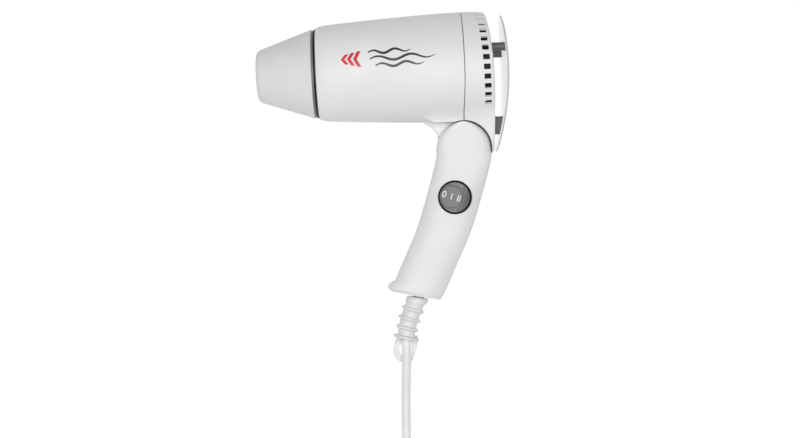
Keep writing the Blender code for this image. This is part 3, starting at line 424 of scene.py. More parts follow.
def moulded_with_painted_glow(name, colour, roughness, glow):
    """Moulded plastic with painted light: faces whose normal points along -X glow white, up to glow, as a painted
    glow.
    """
    made = moulded(name, colour, roughness)
    tree = made.node_tree
    shader = tree.nodes["Principled BSDF"]
    normals = tree.nodes.new("ShaderNodeTexCoord")
    split = tree.nodes.new("ShaderNodeSeparateXYZ")
    tree.links.new(normals.outputs["Normal"], split.inputs["Vector"])
    # painted glow: white emission, up to glow, on faces whose normal points along -X
    fade = remapped(tree, split.outputs["X"], (-0.3, -0.9), (0.0, glow))
    shader.inputs["Emission Color"].default_value = PURE_WHITE
    tree.links.new(fade, shader.inputs["Emission Strength"])
    return made


def soft_sheath(name, colour, roughness):
    """Flexible vinyl: satin, with slight rings of thickness along it and rubbed patches."""
    return surface(name, (shade(colour, 0.95), colour), (60.0, 4.0),
                   (roughness - 0.05, roughness + 0.08), (260.0, 3.0),
                   (((220.0, 1.0), 0.00005), ((2200.0, 2.0), 0.000012)),
                   {"Subsurface Weight": 0.04, "Subsurface Scale": 0.002})


def drawn_metal(name, colour, roughness):
    """Plated or drawn metal: brushed streaks, a little tarnish."""
    streaks = (600.0, 3.0, (1.0, 1.0, 12.0))
    return surface(name, (shade(colour, 0.78), colour), (180.0, 4.0),
                   (roughness - 0.08, roughness + 0.12), streaks, ((streaks, 0.00001),), {"Metallic": 1.0})


def mica_sheet(name, colour):
    """Pressed mica: golden flakes with a pearly face."""
    made, tree, shader = new_material(name)
    flakes = tree.nodes.new("ShaderNodeTexVoronoi")
    flakes.inputs["Scale"].default_value = 420.0
    tree.links.new(object_coordinates(tree), flakes.inputs["Vector"])
    distance = flakes.outputs["Distance"]
    blend_colours(tree, shader, distance, shade(colour, 0.7), colour, 0.1, 0.8)
    vary_roughness(tree, shader, noise(tree, 300.0, 2.0), 0.35, 0.6)
    add_bump(tree, shader, distance, 0.00005)
    return made


def solder_mask(name, colour):
    """A printed circuit board: dark green with paler traces under the mask."""
    made, tree, shader = new_material(name)
    traces = tree.nodes.new("ShaderNodeTexBrick")
    set_inputs(traces, {"Scale": 160.0, "Color1": (*colour, 1.0), "Color2": (*shade(colour, 0.8), 1.0),
                        "Mortar": (*shade(colour, 2.0), 1.0)})
    tree.links.new(object_coordinates(tree), traces.inputs["Vector"])
    tree.links.new(traces.outputs["Color"], shader.inputs["Base Color"])
    vary_roughness(tree, shader, noise(tree, 400.0, 2.0), 0.4, 0.55)
    add_bump(tree, shader, traces.outputs["Fac"], 0.00003)
    return made


def printed_ink(name, colour):
    """Pad-printed ink: nearly even, with the plastic's grain and small pinholes of a paler tone."""
    pinholes = (3000.0, 2.0)
    paler = tuple(c + 0.12 * (1.0 - c) for c in colour)
    return surface(name, (colour, paler), pinholes, (0.32, 0.48), (500.0, 2.0), ((pinholes, 0.000006),), {},
                   blend=(0.55, 0.75))


def table_top(name, colour):
    """The plain pale table, bright as a sheet of paper on a light box."""
    made, tree, shader = new_material(name)
    blend_colours(tree, shader, noise(tree, 8.0, 3.0), shade(colour, 0.99), colour)
    set_inputs(shader, {"Roughness": 0.9, "Specular IOR Level": 0.0, "Emission Color": PURE_WHITE,
                        "Emission Strength": FLOOR_GLOW})
    return made


FLOOR_GLOW = 0.88
PURE_WHITE = (1.0, 1.0, 1.0, 1.0)
WHITE = (0.80, 0.79, 0.785)

# How each finish is made: a function and what it needs after the name
LOOKS = {
    "white_shell": (moulded, WHITE, 0.48, 0.35),
    "nozzle_grey": (moulded, (0.74, 0.74, 0.735), 0.5, 0.35),
    # the guard's last value is a painted glow: white light painted on its faces that point along -X
    "guard_grey": (moulded_with_painted_glow, (0.54, 0.54, 0.535), 0.5, 0.47),
    "black_plastic": (moulded, (0.008, 0.008, 0.008), 0.5, 0.25, 900.0, 0.00002),
    "rocker_grey": (moulded, (0.17, 0.18, 0.178), 0.48, 0.5, 700.0, 0.00003, 0.12),
    "post_grey": (moulded, (0.085, 0.085, 0.08), 0.5, 0.5, 900.0, 0.00002, 0.15),
    "relief_white": (soft_sheath, (0.75, 0.745, 0.735), 0.45),
    "cord_white": (soft_sheath, (0.82, 0.81, 0.81), 0.42),
    "mica": (mica_sheet, (0.55, 0.42, 0.25)),
    "heating_wire": (drawn_metal, (0.45, 0.43, 0.40), 0.38),
    "steel": (drawn_metal, (0.62, 0.62, 0.63), 0.30),
    "brass": (drawn_metal, (0.75, 0.55, 0.25), 0.32),
    "copper": (drawn_metal, (0.72, 0.38, 0.20), 0.35),
    "circuit_board": (solder_mask, (0.05, 0.22, 0.10)),
    "brown_wire": (soft_sheath, (0.20, 0.08, 0.03), 0.45),
    "blue_wire": (soft_sheath, (0.03, 0.10, 0.40), 0.45),
    "red_ink": (printed_ink, (0.62, 0.015, 0.03)),
    "dark_ink": (printed_ink, (0.02, 0.02, 0.022)),
    "pale_ink": (printed_ink, (0.80, 0.81, 0.81)),
}
FINISHES = {name: make(name, *values) for name, (make, *values) in LOOKS.items()}


# ---- cord, coil and plug, on the table

CORD_RADIUS = 3.25
CORD_LIE = CORD_RADIUS + 0.05
COIL_CENTRE = Vector((-93.5, -317.0, 0.0))
COIL_OUTER = 41.5
COIL_INNER = 28.5
COIL_TOP = 19.55
COIL_STEP = 125.0  # degrees that a turn takes to step aside or up
# One row per turn: radius before and after, layer before and after, and the angle where the step starts.
COIL_TURNS = ((41.5, 35.0, 0, 0, 235.0), (35.0, 28.5, 0, 0, 235.0), (28.5, 28.5, 0, 1, 150.0),
              (28.5, 35.0, 1, 1, 55.0), (35.0, 41.5, 1, 1, 55.0), (41.5, 41.5, 1, 2, 0.0))
TAIL_TURN_RADIUS = 30.0
TAIL_TURN_Y = COIL_CENTRE.y - 62.0
RELIEF_END = Vector((-48.6, -193.4, 0.0))  # in the design frame
PLUG_START = Vector((COIL_CENTRE.x + COIL_OUTER + 2 * TAIL_TURN_RADIUS, TAIL_TURN_Y + 12.0, 5.6))
PLUG_TILT = radians(13.0)
PLUG_FACE = 56.0  # from the boot's end to the face with the pins
PIN_PITCH = 19.0


def route_to_coil():
    """From the strain relief down to the table and along it to the coil's outermost turn."""
    start = TABLE.inverted() @ DESIGN @ RELIEF_END
    side = COIL_CENTRE.x + COIL_OUTER
    return [start, start + Vector((-0.4, -14.8, -2.2)), (-50.4, -226.0, 6.0), (-51.2, -244.0, 3.9),
            (-51.8, -262.0, CORD_LIE), (side, -279.0, CORD_LIE), (side, -298.0, CORD_LIE)]


def coil_turns():
    """Six turns in three layers, wound clockwise as seen from above, from the coil's +X side."""
    per_turn = 48
    line = []
    for radius, next_radius, layer, next_layer, start in COIL_TURNS:
        for k in range(per_turn):
            degrees = 360.0 * k / per_turn
            share = smooth_step((degrees - start) / COIL_STEP)
            r = radius + (next_radius - radius) * share
            z = CORD_LIE + 2 * CORD_RADIUS * (layer + (next_layer - layer) * share)
            a = radians(degrees)
            line.append(COIL_CENTRE + Vector((r * cos(a), -r * sin(a), z)))
    return line


def route_to_plug():
    """Off the coil's top turn, down to the table, and round a wide bend to the plug."""
    side, lie = COIL_CENTRE.x + COIL_OUTER, CORD_RADIUS + 0.3
    top, y = COIL_TOP - CORD_RADIUS, COIL_CENTRE.y
    bend = arc((side + TAIL_TURN_RADIUS, TAIL_TURN_Y), TAIL_TURN_RADIUS, 180.0, 360.0, 10)
    return [(side, y, top), (side, y - 13.0, top - 0.1), (side, y - 27.0, 12.9), (side, y - 41.0, 7.4),
            (side, y - 53.0, 4.3), *[(bx, by, lie) for bx, by in bend], PLUG_START]


def lead_piece(line):
    """The lead: a tube as a curve of one spline, in the row frame."""
    curve = bpy.data.curves.new("mains_lead", "CURVE")
    curve.dimensions = "3D"
    curve.bevel_depth = CORD_RADIUS * MM
    curve.bevel_resolution = 6
    curve.use_fill_caps = True
    spline = curve.splines.new("POLY")
    spline.points.add(len(line) - 1)
    for point, place in zip(spline.points, line):
        point.co = (*(TABLE @ Vector(place)), 1.0)
    spline.use_smooth = True
    curve.materials.append(FINISHES["cord_white"])
    made = placed("mains_lead", curve)
    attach(made, "handle")
    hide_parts("cord", "cord_coil", "cord_tail")
    return made


def on_plug(bm):
    """From the plug's own axes (y from its boot to its face) to the table's."""
    return moved(bm, Matrix.Translation(PLUG_START) @ Matrix.Rotation(PLUG_TILT, 4, "X"))


def along_y(stations, sides, centre=0.0, shape=None):
    """A solid along Y through stations of (y, radius); shape gives a factor on the radius at an angle."""
    rings = []
    for y, r in stations:
        ring = []
        for a in all_round(sides):
            reach = r * (shape(y, a) if shape else 1.0)
            ring.append((centre + reach * cos(a), y, reach * sin(a)))
        rings.append(ring)
    return loft(rings)


def plug_moulding():
    """A round two-pin plug: ribbed boot, a grip with flutes, and a flat face with a rounded rim."""
    def fluted(y, a):
        grip = smooth_step((y - 27.0) / 4.0) * smooth_step((52.0 - y) / 4.0)
        return 1.0 - 0.028 * grip * (0.5 - 0.5 * cos(20 * a))

    stations = [(0.4, 3.9), (0.9, 4.5)]
    for k in range(6):
        y = 2.2 + 2.6 * k
        radius = 4.7 + 0.26 * k
        stations += [(y, radius), (y + 0.3, radius - 0.6), (y + 1.1, radius - 0.6), (y + 1.4, radius + 0.1)]
    swell = smooth_curve([(18.0, 6.4), (24.0, 8.8), (36.0, 13.1), (48.0, 16.2), (54.4, 17.1)], 1.5)
    stations += [(p.x, p.y) for p in swell]
    stations += arc((54.6, 16.0), 1.15, 80.0, 0.0, 4)
    stations.append((PLUG_FACE - 0.25, 14.5))
    return on_plug(along_y(stations, 80, shape=fluted))


def plug_pin(side):
    """A nickel-plated pin with a rounded tip and a small shoulder."""
    start = PLUG_FACE + 0.1
    stations = [(start, 2.9), (start + 0.8, 2.9), (start + 1.1, 2.4)]
    stations += [(y, r) for y, r in arc((PLUG_FACE + 17.0, 0.4), 2.0, 90.0, 0.0, 6)]
    return on_plug(along_y(stations, 32, side * PIN_PITCH / 2))


def coil_tie():
    """A soft strap round the coil's turns."""
    room = CORD_RADIUS + 0.3
    near, far = COIL_INNER - room - COIL_CENTRE.y, COIL_OUTER + room - COIL_CENTRE.y
    lift, thick, half = 0.7, 0.9, 4.0
    band = [Vector(p) for p in rounded(rectangle(near, lift, far, COIL_TOP + lift), 3.0, 5)]
    section = rounded(rectangle(-half, -thick / 2, half, thick / 2), 0.35, 2)
    rings = []
    for k, here in enumerate(band):
        along = heading(band, k, closed=True)
        out = Vector((along.y, -along.x))
        places = [(x, here + out * depth) for x, depth in section]
        rings.append([(COIL_CENTRE.x + x, -place.x, place.y) for x, place in places])
    return loft(rings, closed=True)


def make_cord():
    """The whole lead, from inside the strain relief to the plug's boot, with the pieces on it."""
    spacing = 2.5
    line = smooth_curve(route_to_coil(), spacing) + coil_turns() + smooth_curve(route_to_plug(), spacing)
    lead = lead_piece(line)
    parts = [
        piece("plug", plug_moulding(), "handle", "cord_white", ["plug_body"], TABLE, 40.0),
        piece("plug_pin_a", plug_pin(-1), "handle", "steel", ["plug_pin_left"], TABLE),
        piece("plug_pin_b", plug_pin(1), "handle", "steel", ["plug_pin_right"], TABLE),
        piece("coil_strap", coil_tie(), "handle", "black_plastic", ["cord_tie"], TABLE),
    ]


# ---- barrel and rear housing

GAP = 0.3
WALL = 2.2
BARREL_RADIUS = 39.3
BARREL_FRONT = -103.2
BARREL_TAPER = 5.4
LIP_LENGTH = 8.0
LIP_DEPTH = 1.9
TAPER_POWER = 1.5
SEAM_X = 1.0
SEAM_GAP = 0.44
REAR_APEX = (22.5, -10.0)  # x and y where the rounded back stands out furthest
REAR_BEND_UP = 500.0  # the back falls forward by y * y / 500 above that, and by y * y / 1400 below it
REAR_BEND_DOWN = 1400.0
REAR_BEND_Z = 1300.0
REAR_PLATE = 1.6
REAR_CORNER = 2.3
HALF_WIDTH = 17.5  # of the handle, and of the saddle and skirt that it folds between
CUTOUT_RADIUS = 20.1
SADDLE_Y = -39.8
FOOT_FILLET = 30.0  # where the saddle and the skirt run into the round barrel
SKIRT_Y = -62.7
EYE_RADIUS = 16.8
EYE_HALF = 6.0
PIN_RADIUS = 3.0
NECK_FRONT = [(-29.8, -38.2), (-27.2, -39.6), (-24.2, -41.3), (-21.5, -43.8), (-19.7, -46.9), (-18.9, -50.5),
              (-18.3, -54.5)]


def barrel_radius(x):
    """The barrel swells in a long curve from its front lip to the seam."""
    return BARREL_RADIUS - BARREL_TAPER * (max(0.0, -x) / -BARREL_FRONT) ** TAPER_POWER


def body_section(radius, half, bottom, share, corner):
    """A circle with a flat-sided foot below it, as (y, z) points; share fades the foot in, from 0 to 1."""
    fillet_y = -sqrt((radius + FOOT_FILLET) ** 2 - (half + FOOT_FILLET) ** 2)
    start = atan2(half + FOOT_FILLET, -fillet_y)
    side_y = max(fillet_y, bottom + corner + 0.2)
    points = [(bottom, half * 0.93 * k / 5) for k in range(6)]
    points += [(bottom + corner - corner * cos(a), half - corner + corner * sin(a)) for a in quarter(5)[1:]]
    points += [(bottom + corner + (side_y - bottom - corner) * k / 6, half) for k in range(1, 7)]
    on_circle = Vector((-radius * cos(start), radius * sin(start)))
    corner_point = Vector((-sqrt(radius**2 - half**2), half))
    points += [bent(Vector((side_y, half)), corner_point, on_circle, k / 7) for k in range(1, 8)]
    turns = [start + (pi - start) * k / 56 for k in range(1, 57)]
    points += [(-radius * cos(a), radius * sin(a)) for a in turns]
    made = []
    for y, z in points:
        reach = hypot(y, z)
        scale = (radius + (reach - radius) * share) / reach
        made.append((y * scale, z * scale))
    return made + [(y, -z) for y, z in reversed(made[1:-1])]


def barrel_section(x, inset=0.0):
    share = smooth_step((x + 31.0) / 11.0)
    outline = body_section(barrel_radius(x) - inset, HALF_WIDTH - inset, SADDLE_Y, share, 0.4)
    return [(x, y, z) for y, z in outline]


def seam_shift(y):
    """The seam runs a little forward below the middle."""
    return 1.4 * smooth_step((-y - 4.0) / 36.0)


def hinge_cutout():
    return upright_rod(PIVOT, [(-30.0, CUTOUT_RADIUS), (30.0, CUTOUT_RADIUS)], 160)


def barrel_cover():
    """The barrel's shell: rounded lip in front, a saddle over the hinge, a fine bevel at the seam."""
    end = SEAM_X - SEAM_GAP / 2
    rings = []
    for a in quarter(12):
        rings.append(barrel_section(BARREL_FRONT + LIP_LENGTH * (1 - cos(a)), LIP_DEPTH * (1 - sin(a))))
    x = BARREL_FRONT + LIP_LENGTH + 3.5
    while x < end - 1.5:
        rings.append(barrel_section(x))
        x += 1.5 if -32.0 < x < -18.0 else 3.5
    rings += [barrel_section(end - 0.35), barrel_section(end, 0.3)]
    shifted = [[(x - seam_shift(y) * smooth_step((x + 12.0) / 12.0), y, z) for x, y, z in ring]
               for ring in rings]
    inside = stepped_rod([(BARREL_FRONT - 2.0, barrel_radius(BARREL_FRONT) - WALL)]
                         + [(x, barrel_radius(x) - WALL) for x in range(int(BARREL_FRONT), 1, 6)]
                         + [(SEAM_X + 3.0, BARREL_RADIUS - WALL)], 160)
    shell = cut(loft(shifted), inside, hinge_cutout())
    pin_hole = upright_rod(PIVOT, [(-10.0, PIN_RADIUS + 0.1), (10.0, PIN_RADIUS + 0.1)])
    return cut(joined(shell, neck()), pin_hole)


def neck():
    """The tongue under the barrel: a fillet down from it, then round the eye for the hinge pin."""
    front = [(p.x, p.y) for p in smooth_curve(NECK_FRONT, 0.9)]
    eye = arc(PIVOT, EYE_RADIUS, 184.0, 460.0, 60)
    return soft_prism([*front, *eye, (-4.0, -38.2)], -EYE_HALF, EYE_HALF, 0.9,
                      share=lambda point: smooth_step((-39.4 - point.y) / 3.0))


WINDOW_COUNT = 27
WINDOW_PITCH = 10.1  # degrees
WINDOW_TURN = 4.6
WINDOW_WIDTH = 3.8
WINDOW_FROM_BACK = (7.0, 2.3)  # distances of a window's two ends from the back's edge
HOLE_RADIUS = 3.6
HOLE_RINGS = ((26.0, 16), (15.5, 9))  # radius and number of holes
POST_PLACE = (11.2, 24.0)  # y and z of the upper posts
POST_RADIUS = 3.1


def rear_x(y, z):
    """The gently rounded back of the rear housing."""
    off = y - REAR_APEX[1]
    return REAR_APEX[0] - off**2 / (REAR_BEND_UP if off > 0.0 else REAR_BEND_DOWN) - z**2 / REAR_BEND_Z


def behind_back(inset):
    """Everything behind a surface that lies inset in front of the rear housing's back."""
    reach = 40.0
    across = [4.0 * k - 44.0 for k in range(23)]
    rings = []
    for k in range(43):
        y = 3.0 * k - 70.0
        face = [(rear_x(y, z) - inset, y, z) for z in across]
        rings.append([*face, (reach, y, across[-1]), (reach, y, across[0])])
    return loft(rings)


def windows():
    """A comb of small windows round the housing, each at the same distance from its back edge."""
    cutters = []
    half = WINDOW_WIDTH / 2
    for k in range(WINDOW_COUNT):
        angle = radians((k - WINDOW_COUNT // 2) * WINDOW_PITCH + WINDOW_TURN)
        back = rear_x(BARREL_RADIUS * cos(angle), BARREL_RADIUS * sin(angle))
        start, end = (back - distance for distance in WINDOW_FROM_BACK)
        outline = rounded(rectangle(start, -half, end, half), 0.45, 2)
        cutter = loft([[(x, y, z) for x, z in outline] for y in (30.0, 45.0)])
        cutters.append(moved(cutter, Matrix.Rotation(angle, 4, "X")))
    return together(cutters)


def rear_plate_holes():
    """Two rings of round intake holes with bevelled edges, with none where the posts stand."""
    narrow, wide = HOLE_RADIUS, HOLE_RADIUS + 0.5
    holes = []
    for ring_radius, count in HOLE_RINGS:
        for y, z in circle(ring_radius, count):
            if hypot(y - POST_PLACE[0], abs(z) - POST_PLACE[1]) > HOLE_RADIUS + POST_RADIUS:
                back = rear_x(y, z)
                stations = [(back - 5.0, narrow), (back - 0.6, narrow), (back, wide), (back + 1.0, wide)]
                holes.append(stepped_rod(stations, 28, (y, z)))
    return together(holes)


def rear_cover():
    """The rear housing: the barrel's end with its windows, and the skirt that hides the hinge."""
    start = SEAM_X + SEAM_GAP / 2

    def section(share, inset):
        radius = BARREL_RADIUS - 0.6 * share**2 - inset
        return body_section(radius, HALF_WIDTH - inset, SKIRT_Y + inset, 1.0, 1.2)

    rings = [[(start - seam_shift(y), y, z) for y, z in section(0.0, 0.3)]]
    for share in (0.02, 0.25, 0.5, 0.75, 1.0):
        ring = []
        for y, z in section(share, 0.0):
            front = start - seam_shift(y)
            ring.append((front + (rear_x(y, z) - REAR_CORNER - front) * share, y, z))
        rings.append(ring)
    for a in quarter(6)[1:]:
        outline = section(1.0, REAR_CORNER * (1 - cos(a)))
        rings.append([(rear_x(y, z) - REAR_CORNER * (1 - sin(a)), y, z) for y, z in outline])
    edge = section(1.0, REAR_CORNER)
    middle = REAR_APEX[1]
    for share in (0.93, 0.83, 0.7, 0.55, 0.4, 0.25, 0.1, 0.02):
        inner = [(middle + (y - middle) * share, z * share) for y, z in edge]
        rings.append([(rear_x(y, z), y, z) for y, z in inner])
    bore = BARREL_RADIUS - WALL
    hollow = stepped_rod([(start - 1.0, bore), (REAR_APEX[0] + 1.0, bore - 0.8)], 160)
    hollow = cut(hollow, behind_back(REAR_PLATE))
    return cut(loft(rings), hollow, hinge_cutout(), windows(), rear_plate_holes())


SCREEN_X = (11.2, 12.8)
SCREEN_RINGS = ((30.5, 5.2), (19.0, 1.4), (7.0, 1.6))  # inner radius and width
SCREEN_COLLAR = (31.4, 32.8)  # radii of the collar behind the windows
GUARD_APEX = (33.7, -1.0)
GUARD_BEND_Y = 350.0
GUARD_BEND_Z = 692.0
GUARD_THICK = 1.6
GUARD_TOP = 35.8
GUARD_BOTTOM = -62.0
GUARD_SIDE = 33.0


def guard_x(y, z):
    """The outer face of the guard's dome."""
    return GUARD_APEX[0] - (y - GUARD_APEX[1]) ** 2 / GUARD_BEND_Y - z**2 / GUARD_BEND_Z


def guard_dome():
    """A thin dome with an egg-shaped outline and a rounded rim."""
    outline = []
    for a in all_round(128):
        reach = GUARD_TOP if sin(a) > 0 else -GUARD_BOTTOM
        outline.append((reach * sin(a), GUARD_SIDE * cos(a)))
    shares = [(n + 0.02) / 14 for n in range(14)]
    rim = GUARD_THICK / 2
    levels = [(share, 0.0) for share in shares]
    levels += [(1.0 - (rim - rim * sin(a)) / GUARD_TOP, rim - rim * cos(a))
               for a in (radians(30 * k) for k in range(7))]
    levels += [(share, GUARD_THICK) for share in reversed(shares)]
    rings = []
    for share, depth in levels:
        rings.append([(guard_x(y * share, z * share) - depth, y * share, z * share) for y, z in outline])
    return loft(rings)


def grille(span, ring_sizes, bar_reach, bar_half, bar_count):
    """The rings and the crossed bars of a grille, between two places along the barrel."""
    front, back = span
    rings = [turned(rounded(rectangle(front, r + w, back, r), 0.3, 2), 96) for r, w in ring_sizes]
    bars = []
    for k in range(bar_count):
        bar = block((front + 0.2, -bar_reach, -bar_half), (back - 0.2, bar_reach, bar_half))
        bars.append(moved(bar, Matrix.Rotation(pi * (k + 0.5) / bar_count, 4, "X")))
    return rings, bars


def intake_basket():
    """The black screen in front of the fan: rings on a spider, with a collar behind the windows."""
    inner, outer = SCREEN_COLLAR
    collar = turned(rectangle(SCREEN_X[0] + 0.3, outer, REAR_APEX[0], inner), 128)
    collar = cut(collar, behind_back(REAR_PLATE + 0.6))
    rings, bars = grille(SCREEN_X, SCREEN_RINGS, 31.5, 0.7, 4)
    return joined(rings[0], collar, *bars, *rings[1:])


def post(outline, waist):
    """A post from the rear housing to the guard: an outline of (y, z), drawn in by waist in the middle."""
    y0 = sum(y for y, _ in outline) / len(outline)
    z0 = sum(z for _, z in outline) / len(outline)
    rings = []
    for t in (k / 8 for k in range(9)):
        scale = 1.0 - waist * sin(pi * t)
        ring = []
        for y, z in outline:
            py, pz = y0 + (y - y0) * scale, z0 + (z - z0) * scale
            near, far = rear_x(py, pz) + 0.1, guard_x(py, pz) - GUARD_THICK - 0.1
            ring.append((near + (far - near) * t, py, pz))
        rings.append(ring)
    return loft(rings)


def upper_post(side):
    return post(circle(POST_RADIUS, 48, (POST_PLACE[0], side * POST_PLACE[1])), 0.05)


def lower_post():
    return post(rounded(rectangle(-49.4, -3.0, -36.4, 3.0), 1.2, 5), 0.03)


# ---- nozzle and front of the barrel

NOZZLE_FRONT = -146.5
NOZZLE_REAR = -106.2
NOZZLE_REAR_RADIUS = 31.9
NOZZLE_FRONT_RADIUS = 18.0
NOZZLE_MOUTH_RADIUS = 12.8
NOZZLE_CORNER = 5.0
NOZZLE_COLLAR = 30.2  # radius of the collar behind the nozzle's step
COLLAR_BACK = -104.7
SPIGOT_RADIUS = 28.4
SPIGOT_FRONT = -110.5
GRILLE_X = (-99.6, -97.8)
GRILLE_RINGS = ((8.0, 1.6), (17.5, 1.6), (28.6, 1.6))


def spigot_ring():
    """The black spigot that the nozzle pushes onto, with the flange that shows in the gap; the flange reaches out
    as far as the nozzle's rear, so its black also stands in for the gap's deep shadow as painted shade.
    """
    front, step, seat, back = SPIGOT_FRONT, -104.4, -103.5, -101.6
    # the flange is as wide as the nozzle's rear: its black is a real ring and also painted shade for the gap
    flange, seat_radius, bore = 31.9, 31.3, 26.2
    outline = [(front, SPIGOT_RADIUS - 0.5), (front + 0.5, SPIGOT_RADIUS), (step, SPIGOT_RADIUS),
               (step, flange - 0.3), (step + 0.3, flange), (seat, flange), (seat, seat_radius),
               (back, seat_radius), (back, bore), (front, bore)]
    return turned(outline)


def nozzle_cone():
    """The push-on nozzle: a slim cone with a rounded front corner, a flat rim and a collar behind a step."""
    front, rear, wide, corner = NOZZLE_FRONT, NOZZLE_REAR, NOZZLE_REAR_RADIUS, NOZZLE_CORNER
    slope = (wide - NOZZLE_FRONT_RADIUS) / (rear - front)
    bore = SPIGOT_RADIUS + GAP
    outer = [(COLLAR_BACK, NOZZLE_COLLAR - 0.3), (COLLAR_BACK - 0.3, NOZZLE_COLLAR), (rear, NOZZLE_COLLAR),
             (rear, wide - 0.5), (rear - 0.15, wide - 0.15), (rear - 0.5, wide)]
    for k in range(1, 9):
        x = rear - 0.5 + (front + corner - rear + 0.5) * k / 9
        outer.append((x, NOZZLE_FRONT_RADIUS + (x - front) * slope))
    outer += arc((front + corner, NOZZLE_FRONT_RADIUS - corner + corner * slope * 0.8), corner,
                 108.0, 180.0, 9)
    inner = [(front, NOZZLE_MOUTH_RADIUS + 0.5), (front + 0.5, NOZZLE_MOUTH_RADIUS),
             (front + 2.0, NOZZLE_MOUTH_RADIUS), (front + 6.0, NOZZLE_FRONT_RADIUS + 6.0 * slope - 1.8),
             (SPIGOT_FRONT - 1.2, bore - 0.4), (SPIGOT_FRONT - 0.8, bore), (COLLAR_BACK, bore)]
    return turned(outer + inner, 160)


def nozzle_painted_shade_band():
    """A dark band of painted shade round the nozzle's collar, in the groove in front of the barrel, standing for
    the shadow there.
    """
    front, back = NOZZLE_REAR + 0.1, COLLAR_BACK - 0.05
    inner, outer = NOZZLE_COLLAR + 0.1, NOZZLE_COLLAR + 1.0
    return turned([(front, inner), (front, outer - 0.2), (front + 0.2, outer), (back - 0.2, outer),
                   (back, outer - 0.2), (back, inner)], 160)


def outlet_guard():
    """A disc of three rings on crossed bars, with softened edges."""
    rings, bars = grille(GRILLE_X, GRILLE_RINGS, 29.4, 0.8, 3)
    return joined(rings[0], *bars, *rings[1:])


# ---- the mark on the barrel


BARREL_INK = (0.02, 0.07)  # heights of the ink's underside and face above the plastic
ROCKER_INK = (0.02, 0.08)
# Each air line's start and end, its height and its swing
AIR_LINES = ((-66.0, -36.0, 10.2, 1.3), (-65.0, -19.0, 5.4, 1.6), (-61.0, -27.0, 0.6, 1.3))


def on_barrel(x, around, lift):
    """A point on the barrel's switch side: around is the height above the axis, measured round the barrel."""
    radius = barrel_radius(x)
    angle = around / radius
    return Vector((x, (radius + lift) * sin(angle), (radius + lift) * cos(angle)))


def inked(edges, surface, levels, closed=False):
    """A thin printed patch between pairs of points (u, v), laid on a surface between two levels."""
    low, high = levels
    return loft([[surface(*left, low), surface(*right, low), surface(*right, high), surface(*left, high)]
                 for left, right in edges], closed)


def stroke(points, width, surface, levels, closed=False):
    """A printed line through points (u, v), laid on a surface; width(t) is its width at a share t of it."""
    line = [Vector(p) for p in points]
    edges = []
    for k, here in enumerate(line):
        along = heading(line, k, closed)
        across = Vector((-along.y, along.x)) * width(k / (len(line) - 1)) / 2
        edges.append((here + across, here - across))
    return inked(edges, surface, levels, closed)


def red_chevrons():
    """Three slanting red bars, as of moving air, each shorter than the last."""
    parts = []
    for k, height in enumerate((5.6, 4.6, 3.6)):
        edges = []
        for step in range(25):
            v = height * (2 * step / 24 - 1)
            left = -76.5 - 4.3 * k + 3.0 * abs(v) / height
            edges.append(((left, v + 6.0), (left + 2.6, v + 6.0)))
        parts.append(inked(edges, on_barrel, BARREL_INK))
    return together(parts)


def air_lines():
    """Dark wavy lines that run back from the chevrons."""
    def taper(t):
        return 0.35 + 1.5 * sin(pi * min(1.0, 0.08 + 0.92 * t)) ** 0.8

    parts = []
    for start, end, height, swing in AIR_LINES:
        points = []
        for t in (k / 72 for k in range(73)):
            points.append((start + (end - start) * t, height + swing * sin(4 * pi * t) + 1.2 * t))
        parts.append(stroke(points, taper, on_barrel, BARREL_INK))
    return together(parts)


# ---- handle

HANDLE_END_HALF = 17.0
HANDLE_POWER = 5.0  # how square a section is: 2 is an ellipse
END_POWER = 2.8
HEAD_RADIUS = 19.4
HEAD_ANGLES = (88.0, 84.0, 79.0, 73.0, 66.0, 58.0, 50.0, 42.0, 34.0, 26.0, 18.0, 10.0)
CHEEK_INNER = 7.3
SLOT_RADIUS = 31.0
SLOT_ANGLES = (98.0, 240.0)
FRONT_EDGE = [(-20.6, -59.05), (-21.1, -64.6), (-27.9, -87.3), (-37.9, -115.7), (-51.5, -143.9),
              (-54.4, -150.4)]
BACK_EDGE = [(18.2, -59.05), (18.2, -67.2), (11.7, -89.2), (1.7, -117.6), (-11.9, -145.8), (-16.9, -156.4)]
# Front and back points of the rounded end's sections
END_SECTIONS = [((-59.2, -152.8), (-19.3, -160.6)), ((-60.3, -155.2), (-20.8, -163.3)),
                ((-57.9, -158.0), (-22.6, -165.8))]
SCREWS = {"handle_screw_upper": (5.0, -82.8), "handle_screw_middle": (-24.0, -127.0)}


def oval(front, back, half, power, sides=112):
    """A rounded section between a front and a back point, half thick on each side of the middle plane."""
    centre, reach = (front + back) / 2, (back - front) / 2
    ring = []
    for k in range(sides):
        a = 2 * pi * (k + 0.5) / sides
        c, s = cos(a), sin(a)
        across = abs(c) ** (2 / power) * (1 if c > 0 else -1)
        up = abs(s) ** (2 / power) * (1 if s > 0 else -1)
        ring.append(centre + reach * across + Vector((0.0, 0.0, half * up)))
    return ring


def inset_oval(front, back, half, power, inset):
    along = (back - front).normalized()
    return oval(front + along * inset, back - along * inset, half - inset, power)


def flat_curve(points, spacing):
    """A smooth curve in the middle plane."""
    return smooth_curve([(*p, 0.0) for p in points], spacing)


